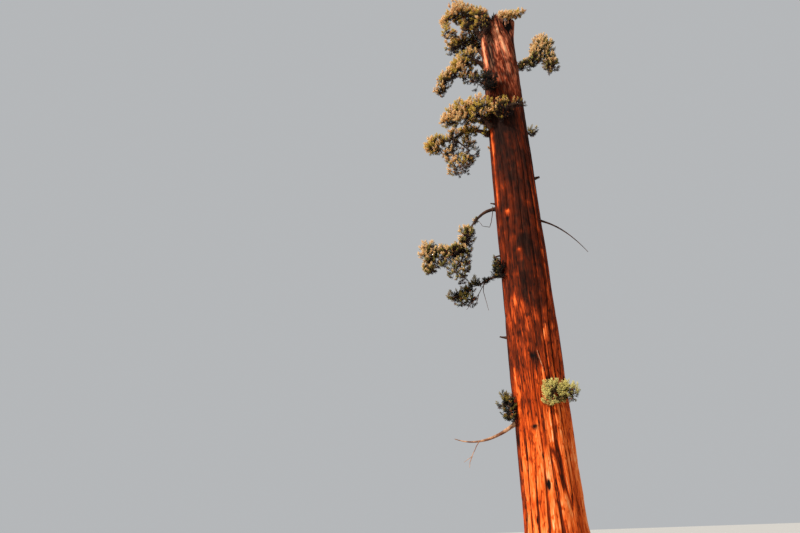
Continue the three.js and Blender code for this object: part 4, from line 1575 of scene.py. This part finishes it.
@dataclass(frozen=True)
class GrownLobe:
    """A lobe with the stem that runs to it, or a smaller joint between two lobes or on a bough."""

    middle: Array
    half: Array
    points: Array
    radii: Array
    dense: bool
    seed: float
    light: float = 0.0
    joint: bool = False

    def share_out(self, places: Array) -> Array:
        """Tells how far out of the lobe points are, where 1 is on its surface."""
        return np.linalg.norm((places - self.middle) / self.half, axis=-1)


@dataclass(frozen=True)
class Tuft:
    """A tuft of sprays round the end of a fine twig.

    Outward is the way out of its lobe there, inner tells that it lies within a dense lobe, sun is how much sunnier
    than its clump it is, and green tells that its head of foliage is green.
    """

    base: Array
    axis: Array
    length: float
    outward: Array
    inner: bool
    sun: float
    green: bool
    seed: float


@dataclass(frozen=True)
class Growth:
    """The rule by which clumps branch, which the solids follow too, and its finer steps.

    Areas are how much of a lobe's surface each twig, tuft or head of foliage has to itself.
    """

    lobe_seed: float = 0.37
    joint_seed: float = 0.19
    sleeve_seed: float = 0.07
    layer_seed: float = 3.1
    tuft_seed: float = 1.7
    twig_area: float = 1.95
    fewest_twigs: int = 3
    dense_reach: float = 0.52
    open_reach: float = 0.6
    twig_scatter: float = 0.1
    twig_entry: Pair = (0.75, 0.25)
    stem_thinning: float = 0.74
    stem_tip: float = 0.06
    stem_lead: float = 0.2
    stem_share: float = 0.92
    stem_in_bark: float = 0.25
    stem_in_crater: float = 0.1
    clearance: float = 0.03
    twig_radius: float = 0.03
    twig_taper: Pair = (1.0, 0.7)
    fine_area_dense: float = 0.07
    fine_area_open: float = 0.078
    fine_radius: float = 0.014
    fine_taper: tuple[float, ...] = (1.0, 0.85, 0.7, 0.35)
    fine_stops: int = 7
    fine_sag: float = 0.12
    fine_end: float = 0.75
    tuft_jitter: float = 0.3
    tuft_length: float = 0.32
    tuft_spread: Pair = (0.6, 0.8)
    tuft_lift: float = 0.75
    tuft_splay: float = 0.6
    tuft_fan: float = 0.6
    tuft_stray: float = 0.22
    head_area: float = 0.34
    head_jitter: float = 0.5
    head_sunk: float = 0.1
    head_depth: float = 0.14
    head_stray: float = 0.22
    head_gap: float = 0.3
    head_sun: float = 0.7
    head_end: float = 1.3
    side_sun: float = 0.35
    green_above: float = 0.66
    cleft: float = 0.12
    cleft_gap: float = 0.35
    sparse_below: float = 0.4
    inner_share: float = 0.6
    inner_area: float = 0.19
    joint_share: float = 0.86
    root_share: float = 0.7
    root_place: float = 0.4
    sleeve_steps: int = 20
    sleeve_lift: float = 0.3
    lump_scale: Point = (1.5, 1.5, 1.5)
    lump_depth: float = 0.14
    bald_dense: float = 0.5
    bald_open: float = 0.4
    swallow: float = 0.82

    def root_of(self, clump: Clump) -> tuple[Array, Array, float]:
        """Finds where a clump's stem starts.

        Args:
            clump: The clump.

        Returns:
            The place, the way the stem points there, and its radius.
        """
        if clump.bough:
            limb = BOUGHS[clump.bough]
            line = limb.line(5)
            return line[-1], unit(line[-1] - line[-2]), limb.thick[1] / 2 * self.stem_share
        if clump.crater:
            start = np.array((*clump.crater, TRUNK.height - TOP.crater - self.stem_in_crater))
        else:
            height, bearing = clump.root
            surface = float(TRUNK.surface(np.float64(height), np.float64(math.radians(bearing))))
            start = on_bearing(height, bearing, surface - self.stem_in_bark)
        return start, unit(np.array(clump.lobes[0].at) - start), clump.thick / 2

    def lobes_of(self, clump: Clump, seed: float) -> list[GrownLobe]:
        """Runs a clump's stem from lobe to lobe.

        Args:
            clump: The clump.
            seed: Picks the clump's draws.

        Returns:
            The lobes, each with its stretch of the stem.
        """
        start, heading, thick = self.root_of(clump)
        grown: list[GrownLobe] = []
        for number, lobe in enumerate(clump.lobes):
            middle = np.array(lobe.at)
            if number == 0:
                points, first = np.array((start, start + heading * self.stem_lead, middle)), thick
            else:
                before = grown[number - 1 if lobe.after is None else lobe.after]
                points, first = np.array((before.middle, middle)), before.radii[-1]
            last = max(self.stem_tip / 2, first * self.stem_thinning)
            radii = np.array([first] * (len(points) - 1) + [last])
            seeded = seed + number * self.lobe_seed
            grown.append(GrownLobe(middle, np.array(lobe.half), points, radii, not lobe.open, seeded, lobe.light))
        return grown

    def joints_of(self, clump: Clump, grown: Sequence[GrownLobe]) -> list[GrownLobe]:
        """Makes the spaces that join a clump's lobes to each other and to what carries them.

        Args:
            clump: The clump.
            grown: Its lobes.

        Returns:
            The joints.
        """
        joints = []
        for number, (lobe, sizes) in enumerate(zip(grown, clump.lobes)):
            points, radii, light = lobe.points, lobe.radii, lobe.light
            if number > 0:
                before = grown[number - 1 if sizes.after is None else sizes.after]
                half = (before.half + lobe.half) / 2 * self.joint_share
                middle = (before.middle + lobe.middle) / 2
                light = (before.light + light) / 2
            elif clump.root:
                foot = on_bearing(*clump.root, math.hypot(*points[0][:2]) + self.stem_in_bark)
                middle = foot + (lobe.middle - foot) * self.root_place
                half = lobe.half * self.root_share
                points, radii = points[1:], radii[1:]
            else:
                continue
            seeded = lobe.seed + self.joint_seed
            joints.append(GrownLobe(middle, half, points, radii, lobe.dense, seeded, light, True))
        for number, (share, radius) in enumerate(clump.sleeves):
            line = BOUGHS[clump.bough].line(self.sleeve_steps)
            place = round(share * self.sleeve_steps)
            middle = line[place] + UP * self.sleeve_lift * radius
            seeded = grown[0].seed + self.sleeve_seed * (number + 1)
            near = line[place - 2 : place + 1]
            joints.append(GrownLobe(middle, np.full(3, radius), near, np.zeros(3), True, seeded, 0.0, True))
        return joints

    def spiral(self, lobe: GrownLobe, area: float) -> Array:
        """Spreads ways out of a lobe evenly.

        Args:
            lobe: The lobe.
            area: How much of the lobe's surface each way has to itself.

        Returns:
            The ways, one a row.
        """
        mean = float(np.cbrt(np.prod(lobe.half)))
        count = max(self.fewest_twigs, round(4 * math.pi * mean * mean / area))
        number = np.arange(count)
        rise = 1 - 2 * (number + 0.5) / count
        flat = np.sqrt(1 - rise * rise)
        turn = scatter(lobe.seed, Draw.SPIRAL) * 2 * math.pi + number * GOLDEN_ANGLE
        return unrolled(turn, rise, flat)

    def twigs(self, lobe: GrownLobe) -> list[tuple[Array, Array]]:
        """Grows a lobe's twigs, which its solid has too, apart from those that would meet the trunk.

        Args:
            lobe: The lobe.

        Returns:
            The points and radii of each.
        """
        ways = self.spiral(lobe, self.twig_area)
        reach = self.dense_reach if lobe.dense else self.open_reach
        drawn = scatter(lobe.seed, Draw.TWIG_REACH + np.arange(len(ways)))
        ends = lobe.middle + ways * lobe.half * (reach * (1 + self.twig_scatter * (2 * drawn - 1)))[:, None]
        entry = lobe.points[-2]
        along = self.twig_entry[0] + self.twig_entry[1] * ways @ unit(lobe.middle - entry)
        roots = entry + (lobe.middle - entry) * along[:, None]
        radii = np.array(self.twig_taper) * self.twig_radius
        both = [np.array((root, end)) for root, end in zip(roots, ends)]
        return [(line, radii) for line in both if is_clear(np.linspace(*line, 5), self.clearance).all()]

    def tufts(self, lobe: GrownLobe, others: Sequence[GrownLobe]) -> list[Tuft]:
        """Spreads tufts over a lobe, clear of the clump's others, with an inner layer in a dense one."""
        heads = strewn(self.spiral(lobe, self.head_area), lobe.seed, self.head_jitter)
        layers = (False, True) if lobe.dense else (False,)
        return [tuft for inner in layers for tuft in self._layer(lobe, others, heads, inner)]

    def _layer(self, lobe: GrownLobe, others: Sequence[GrownLobe], heads: Array, inner: bool) -> list[Tuft]:
        """Spreads one layer of tufts over a lobe.

        Args:
            lobe: The lobe.
            others: The clump's other lobes.
            heads: The way of each head of foliage out of the lobe's middle.
            inner: True for the layer within a dense lobe.

        Returns:
            The tufts.
        """
        share = self.inner_share if inner else 1.0
        outer_area = self.fine_area_dense if lobe.dense else self.fine_area_open
        seed = lobe.seed + self.layer_seed * inner
        ways = self.spiral(lobe, (self.inner_area if inner else outer_area) / share**2)
        ways = strewn(ways, seed, self.tuft_jitter)
        number = np.arange(len(ways))
        outward = unit(ways / lobe.half)
        offsets = ways * lobe.half
        head, dome, cleft, aside = self._heads(heads * lobe.half, offsets)
        lumps = noise(lobe.middle + offsets, self.lump_scale, Seed.FOLIAGE_LUMP)
        holes = noise(lobe.middle + offsets, self.lump_scale, Seed.FOLIAGE_GAP)
        drawn = scatter(lobe.seed, Draw.HEAD_GAP + head) - 0.5
        holes += self.sparse_below * np.maximum(0, -outward[:, 2]) + self.head_gap * drawn
        raised = self.head_depth * dome + self.head_stray * (scatter(lobe.seed, Draw.HEAD_RISE + head) - 0.5)
        raised -= self.head_sunk + self.cleft * cleft
        places = lobe.middle + offsets * (share * (1 + self.lump_depth * lumps))[:, None]
        places += outward * (share * raised)[:, None]
        lift = self.tuft_lift * (0.5 + 0.5 * scatter(seed, Draw.TUFT_LIFT + number))
        turn = scatter(seed, Draw.TUFT_TURN + number) * 2 * math.pi
        stray = self.tuft_stray * unrolled(turn, np.zeros_like(turn))
        axes = unit(self.tuft_splay * outward + UP * lift[:, None] + self.tuft_fan * aside + stray)
        least, more = self.tuft_spread
        lengths = self.tuft_length * (least + more * scatter(seed, Draw.TUFT_LENGTH + number))
        raised = lengths * (0.5 - 0.5 * np.sum(axes * outward, axis=1))
        bases = places + axes * raised[:, None] - axes * lengths[:, None]
        sun = lobe.light + self.head_sun * (scatter(lobe.seed, Draw.HEAD_SUN + head) - 0.5)
        sun += self.side_sun * (aside @ SUNWARD)
        green = scatter(lobe.seed, Draw.HEAD_GREEN + head) > self.green_above
        swallowed = np.zeros(len(ways), dtype=bool)
        for other in others:
            swallowed |= other.share_out(places) < self.swallow * share
        bald = self.bald_dense if lobe.dense else self.bald_open
        kept = is_clear(places, self.clearance) & ~swallowed & (holes + self.cleft_gap * cleft < bald)
        rows = zip(bases, axes, lengths, outward, [inner] * len(ways), sun, green, seed + number * self.tuft_seed)
        return [Tuft(*row) for row, stays in zip(rows, kept) if stays]

    def _heads(self, middles: Array, offsets: Array) -> tuple[Array, Array, Array, Array]:
        """Tells how tufts lie in the heads of foliage that a lobe is made of.

        Args:
            middles: The places of the heads, counted from the lobe's middle.
            offsets: The places of the tufts, counted likewise.

        Returns:
            For each tuft its head, how far up the head's dome it is, how near the cleft to the next head it is,
            and the way from the middle of its head, by the head's size.
        """
        apart = np.linalg.norm(offsets[:, None] - middles[None], axis=2)
        nearest = np.argsort(apart, axis=1)[:, :2]
        first, second = np.take_along_axis(apart, nearest, axis=1).T
        size = math.sqrt(self.head_area / math.pi)
        dome = 1 - np.minimum(first / size, self.head_end) ** 2
        cleft = np.clip(1 - (second - first) / self.cleft, 0, 1)
        return nearest[:, 0], dome, cleft, (offsets - middles[nearest[:, 0]]) / size

    def fine_twig(
        self, lobe: GrownLobe, twigs: Sequence[tuple[Array, Array]], tuft: Tuft
    ) -> tuple[Array, Array]:
        """Runs a fine twig to a tuft from the nearest thicker one.

        Args:
            lobe: The tuft's lobe.
            twigs: The points and radii of the lobe's thicker twigs.
            tuft: The tuft.

        Returns:
            The fine twig's points and radii.
        """
        stretches = [line for line, _ in twigs] + [lobe.points[-2:]]
        choices = np.concatenate([np.linspace(line[0], line[-1], self.fine_stops)[2:] for line in stretches])
        away = np.linalg.norm(choices - tuft.base, axis=1)
        root = choices[np.argmin(away)]
        sag = (root + tuft.base) / 2 - UP * self.fine_sag * np.linalg.norm(tuft.base - root)
        tip = tuft.base + tuft.axis * tuft.length * self.fine_end
        return np.array((root, sag, tuft.base, tip)), self.fine_radius * np.array(self.fine_taper)


def strewn(ways: Array, seed: float, amount: float) -> Array:
    """Moves ways a little aside, each by its own draw."""
    number = np.arange(len(ways))
    aside = np.stack([scatter(seed + STREW_SEED * axis, Draw.STREW + number) - 0.5 for axis in range(3)], axis=1)
    return unit(ways + amount * aside)


def is_clear(places: Array, room: float) -> Array:
    """Tells which points stay clear of the trunk. The crater's hollow is clear too.

    Args:
        places: The points.
        room: How far clear they have to be.

    Returns:
        True for each point that is.
    """
    angle = np.arctan2(places[..., 1], places[..., 0])
    across = np.hypot(places[..., 0], places[..., 1])
    surface = TRUNK.surface(np.clip(places[..., 2], 0, TRUNK.height), angle)
    floor = TRUNK.height - TOP.crater * np.maximum(0, 1 - across / (surface - TOP.wall)) ** 0.5
    over = np.where(across < surface - TOP.wall, floor, TOP.rim(angle))
    return (across > surface + room) | (places[..., 2] > over + room)


@dataclass(frozen=True)
class Sprays:
    """Sprays of needles. Each row of each array is one spray's."""

    roots: Array
    ways: Array
    sides: Array
    lengths: Array
    tints: Array

    def picked(self, chosen: Any) -> "Sprays":
        """Picks some of the sprays, by a slice or a mask."""
        return Sprays(*(rows[chosen] for rows in vars(self).values()))

    @staticmethod
    def gathered(groups: Sequence["Sprays"]) -> "Sprays":
        """Joins groups of sprays."""
        return Sprays(*(np.concatenate(rows) for rows in zip(*(vars(group).values() for group in groups))))


@dataclass(frozen=True)
class SprayRule:
    """How sprays stand round a tuft's twig, so that they make a candle with a round top, and their tints.

    A pair gives the least of a size and how much more it may be. The sizes that end in sun are how far each cause
    lights or shades a spray.
    """

    count: int = 12
    length: float = 0.16
    inner_length: float = 0.3
    length_loss: float = 0.15
    length_spread: Pair = (0.8, 0.4)
    lean: Pair = (72.0, 60.0)
    lean_power: float = 1.5
    lean_play: float = 0.3
    lift: float = 0.1
    twig_share: float = 0.78
    side_turn: float = 0.3
    side_shift: float = 0.01
    off_axis: Point = (0.31, 0.17, 0.93)
    full_turn: float = 6.28
    way_sun: float = 0.5
    outward_sun: float = 0.4
    tip_sun: float = 0.9
    inner_sun: float = -0.9
    spray_sun: float = 0.35
    tuft_sun: float = 0.8
    clump_sun: float = 0.5
    darkest_sun: float = -0.6
    steps: float = 3.2
    rust_above: float = 0.96

    def around(self, clump: Clump, tuft: Tuft) -> Sprays:
        """Sets sprays all round a tuft's twig.

        Args:
            clump: The clump, whose tints are dealt.
            tuft: The tuft.

        Returns:
            The sprays that stay clear of the trunk.
        """
        number = np.arange(self.count)
        share = (number + 0.5) / self.count
        aside = unit(np.cross(tuft.axis, self.off_axis))
        over = np.cross(tuft.axis, aside)
        turn = number * GOLDEN_ANGLE + scatter(tuft.seed, Draw.SPIRAL) * self.full_turn
        radial = np.cos(turn)[:, None] * aside + np.sin(turn)[:, None] * over
        lean = np.radians(self.lean[0] - self.lean[1] * share**self.lean_power)
        lean = lean + self.lean_play * (scatter(tuft.seed, Draw.SPRAY_LEAN + number) - 0.5)
        way = unit(np.cos(lean)[:, None] * tuft.axis + np.sin(lean)[:, None] * radial + UP * self.lift)
        roots = tuft.base + tuft.axis * (tuft.length * share * self.twig_share)[:, None]
        size = self.inner_length if tuft.inner else self.length
        least, more = self.length_spread
        drawn = least + more * scatter(tuft.seed, Draw.SPRAY_LENGTH + number)
        length = size * (1 - self.length_loss * share) * drawn
        side = unit(np.cross(way, tuft.axis + self.side_turn * radial + self.side_shift))
        dealt = self._tints(clump, tuft, way, share)
        return Sprays(roots, way, side, length, dealt).picked(is_clear(roots + way * length[:, None], 0.0))

    def _tints(self, clump: Clump, tuft: Tuft, way: Array, share: Array) -> Array:
        """Deals tints to a tuft's sprays by how sunny they are.

        Args:
            clump: The clump.
            tuft: The tuft.
            way: The way each spray points.
            share: How far up the tuft each spray stands.

        Returns:
            The number of each spray's tint.
        """
        number = np.arange(self.count)
        sun = self.way_sun * (way @ SUNWARD) + self.outward_sun * (tuft.outward @ SUNWARD)
        sun = sun + self.tip_sun * (share - 0.5)
        drawn = self.spray_sun * (scatter(tuft.seed, Draw.SPRAY_SUN + number) - 0.5)
        sun += clump.light + self.inner_sun * tuft.inner + drawn
        even = self.tuft_sun * (scatter(tuft.seed, Draw.TUFT_SUN) - 0.5) + tuft.sun
        sun += even + self.clump_sun * clump.sunny_side(tuft.base)
        tints = list(Tint)
        palette = Palette.GREEN if tuft.green and clump.palette is Palette.GOLDEN else clump.palette
        scale = np.array([tints.index(tint) for tint in palette.value])
        step = np.clip(np.floor((sun - self.darkest_sun) * self.steps), 0, len(scale) - 1).astype(int)
        rusty = scatter(tuft.seed, Draw.SPRAY_RUST + number) > self.rust_above
        return np.where(rusty, tints.index(Tint.RUST), scale[step])


@dataclass(frozen=True)
class SprayPattern:
    """One spray of needles: a scaly cord with shorter cords along it, pointing up +Z and 1 long.

    The seed picks one spread of the side cords. They get shorter and lean out less towards the tip, first and last
    say where they start, and length_spread gives the least share of its length that one may have and how much more.
    """

    seed: int
    cord: float = 0.12
    sides: int = 3
    side_cord: float = 0.8
    side_length: float = 0.66
    length_loss: float = 0.45
    length_spread: Pair = (0.85, 0.3)
    side_lean: float = 0.85
    lean_range: Pair = (1.15, 0.5)
    first: float = 0.6
    last: float = 0.82

    def model(self) -> tuple[Array, Array]:
        """Models the spray.

        Returns:
            Its points, and its triangles as three point numbers a row.
        """
        Workbench.clear_selection()
        self._cord(np.zeros(3), 1.0, self.cord, (0.0, 0.0))
        for number in range(self.sides):
            share = (number + self.first) / self.sides
            turn = number * GOLDEN_ANGLE + scatter(self.seed, number)
            lean = self.side_lean * (self.lean_range[0] - self.lean_range[1] * share)
            drawn = self.length_spread[0] + self.length_spread[1] * scatter(self.seed, Draw.CORD_LENGTH + number)
            length = self.side_length * (1 - self.length_loss * share) * drawn
            self._cord(UP * share * self.last, length, self.cord * self.side_cord, (lean, turn))
        bpy.ops.object.join()
        joined = bpy.context.active_object
        bpy.ops.object.mode_set(mode="EDIT")
        bpy.ops.mesh.select_all(action="SELECT")
        bpy.ops.mesh.quads_convert_to_tris()
        bpy.ops.object.mode_set(mode="OBJECT")
        places = Workbench.places(joined)
        triangles = np.array([list(face.vertices) for face in joined.data.polygons])
        bpy.data.objects.remove(joined)
        return places, triangles

    @staticmethod
    def _cord(root: Array, length: float, radius: float, aim: Pair) -> None:
        """Adds a cord, a slim three-sided cone, to what is selected.

        Args:
            root: Where it starts.
            length: Its length.
            radius: Its radius at its root.
            aim: How far it leans from +Z, and how far that lean is turned round Z, in radians.
        """
        lean, turn = aim
        way = np.array((math.sin(lean) * math.cos(turn), math.sin(lean) * math.sin(turn), math.cos(lean)))
        selected = list(bpy.context.selected_objects)
        bpy.ops.mesh.primitive_cone_add(
            vertices=3,
            radius1=radius,
            radius2=0,
            depth=length,
            location=tuple(root + way * length * 0.5),
            rotation=(0, lean, turn),
        )
        bpy.ops.object.transform_apply(location=True, rotation=True, scale=True)
        for piece in selected:
            piece.select_set(True)


@dataclass
class Foliage:
    """The clumps of foliage: stems and twigs in one piece of each clump, and sprays of needles in another."""

    rule: Growth = field(default_factory=Growth)
    spray_rule: SprayRule = field(default_factory=SprayRule)
    patterns: int = 4
    models: list[tuple[Array, Array]] = field(default_factory=list)
    needles: list[bpy.types.Material] = field(default_factory=list)

    def build(self) -> None:
        """Grows, models and dresses every clump."""
        self.models = [SprayPattern(seed).model() for seed in range(1, self.patterns + 1)]
        self.needles = [tint.material() for tint in Tint]
        skin = TwigFinish().material()
        for number, (name, clump) in enumerate(CLUMPS.items()):
            lines, sprays = self._grow(clump, number + 1)
            Workbench.dress(Workbench.tubes(f"{name}_twigs", lines, 1), Slot.LIMB_BARK, name, skin)
            Workbench.dress(self._needles(f"{name}_needles", sprays), Slot.FOLIAGE, name, *self.needles)

    def _grow(self, clump: Clump, seed: int) -> tuple[list[tuple[Array, Array]], Sprays]:
        """Grows one clump.

        Args:
            clump: The clump.
            seed: Picks its draws.

        Returns:
            The points and radii of each stem and twig, and the sprays.
        """
        lobes = self.rule.lobes_of(clump, seed)
        spaces = lobes + self.rule.joints_of(clump, lobes)
        lines = [(lobe.points, lobe.radii) for lobe in lobes]
        sprays: list[Sprays] = []
        for space in spaces:
            twigs = [] if space.joint else self.rule.twigs(space)
            lines += twigs
            for tuft in self.rule.tufts(space, [other for other in spaces if other is not space]):
                lines.append(self.rule.fine_twig(space, twigs, tuft))
                sprays.append(self.spray_rule.around(clump, tuft))
        return lines, Sprays.gathered(sprays)

    def _needles(self, name: str, sprays: Sprays) -> bpy.types.Object:
        """Sets a copy of a modelled spray at each place and joins them all.

        Args:
            name: The piece's name.
            sprays: The sprays.

        Returns:
            The mesh object.
        """
        places, triangles, dealt, first = [], [], [], 0
        for number, (pattern, faces) in enumerate(self.models):
            mine = sprays.picked(slice(number, None, len(self.models)))
            frames = np.stack((mine.sides, np.cross(mine.ways, mine.sides), mine.ways), axis=1)
            moved = np.einsum("vk,nkc->nvc", pattern, frames) * mine.lengths[:, None, None]
            moved += mine.roots[:, None]
            offsets = first + np.arange(len(moved)) * len(pattern)
            places.append(moved.reshape(-1, 3))
            triangles.append((faces[None] + offsets[:, None, None]).reshape(-1, 3))
            dealt.append(np.repeat(mine.tints, len(faces)))
            first += len(moved) * len(pattern)
        return Workbench.from_arrays(name, *(np.concatenate(rows) for rows in (places, triangles, dealt)))


@dataclass(frozen=True)
class Studio:
    """A plain pale floor, soft light with the sun's side brightest, and the photograph's camera."""

    eye: float = 1.28
    distance: float = 38.233
    yaw: float = 12.213
    pitch: float = 23.27
    roll: float = 2.0
    lens: float = 28.0
    sensor: float = 36.0
    sight: float = 1000.0
    floor_radius: float = 400.0
    floor_sides: int = 96
    floor: Colour = linear(196, 194, 190)
    grit: Colour = (0.6, 0.58, 0.55)
    grit_share: float = 0.08
    grit_pattern: Pattern = ((0.4, 0.4, 0.4), 2.0)
    floor_roughness: float = 0.95
    air: Colour = linear(242, 245, 248)
    air_strength: float = 0.52
    sun: Colour = (1.0, 0.94, 0.85)
    sun_strength: float = 4.2
    sun_angle: float = 5.0

    def build(self) -> None:
        """Sets up the floor, the lights and the camera."""
        self._floor()
        self._light()
        self._camera()

    def _floor(self) -> None:
        """Lays the floor."""
        Workbench.clear_selection()
        bpy.ops.mesh.primitive_circle_add(vertices=self.floor_sides, radius=self.floor_radius, fill_type="NGON")
        floor = bpy.context.active_object
        floor.name = "studio_floor"
        graph = ShaderGraph("studio_floor")
        grit = graph.mottle(graph.place(), *self.grit_pattern)
        paled = graph.blend(grit * self.grit_share, self.floor, self.grit)
        floor.data.materials.append(graph.finish(paled, self.floor_roughness))

    def _light(self) -> None:
        """Adds the sun and the pale air round it."""
        lamp = bpy.data.lights.new("studio_sun", "SUN")
        lamp.energy = self.sun_strength
        lamp.color = self.sun
        lamp.angle = math.radians(self.sun_angle)
        aside = unit(np.cross(UP, SUNWARD))
        self._stand("studio_sun", lamp, (aside, np.cross(SUNWARD, aside), SUNWARD), (0.0, 0.0, 0.0))
        world = bpy.data.worlds.new("studio_air")
        world.use_nodes = True
        background = world.node_tree.nodes["Background"]
        background.inputs["Color"].default_value = (*self.air, 1.0)
        background.inputs["Strength"].default_value = self.air_strength
        bpy.context.scene.world = world
        bpy.context.scene.view_settings.view_transform = "Standard"

    def _camera(self) -> None:
        """Stands the camera where the photograph was taken from."""
        yaw, pitch, roll = (math.radians(turn) for turn in (self.yaw, self.pitch, self.roll))
        ahead = np.array((-math.sin(yaw) * math.cos(pitch), math.cos(yaw) * math.cos(pitch), math.sin(pitch)))
        level = np.array((math.cos(yaw), math.sin(yaw), 0.0))
        above = np.cross(level, ahead)
        right = math.cos(roll) * level - math.sin(roll) * above
        upward = math.cos(roll) * above + math.sin(roll) * level
        data = bpy.data.cameras.new("photo_camera")
        data.lens = self.lens
        data.sensor_width = self.sensor
        data.clip_end = self.sight
        at = (0.0, -self.distance, self.eye)
        bpy.context.scene.camera = self._stand("photo_camera", data, (right, upward, -ahead), at)

    @staticmethod
    def _stand(name: str, data: bpy.types.ID, axes: tuple[Array, Array, Array], at: Point) -> bpy.types.Object:
        """Puts a light or a camera in the scene, with its X, Y and Z along the axes."""
        made = bpy.data.objects.new(name, data)
        made.matrix_world = Matrix.Translation(at) @ Matrix(np.column_stack(axes).tolist()).to_4x4()
        bpy.context.collection.objects.link(made)
        return made


def main() -> None:
    """Dresses the tree and sets up the studio."""
    logging.basicConfig(level=logging.INFO, format="%(name)s: %(message)s")
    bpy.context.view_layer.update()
    Studio().build()
    Trunk().build()
    skins = LimbSkins()
    Limbs(skins).build()
    DeadTwigs(skins).build()
    Foliage().build()


if __name__ == "__main__":
    main()
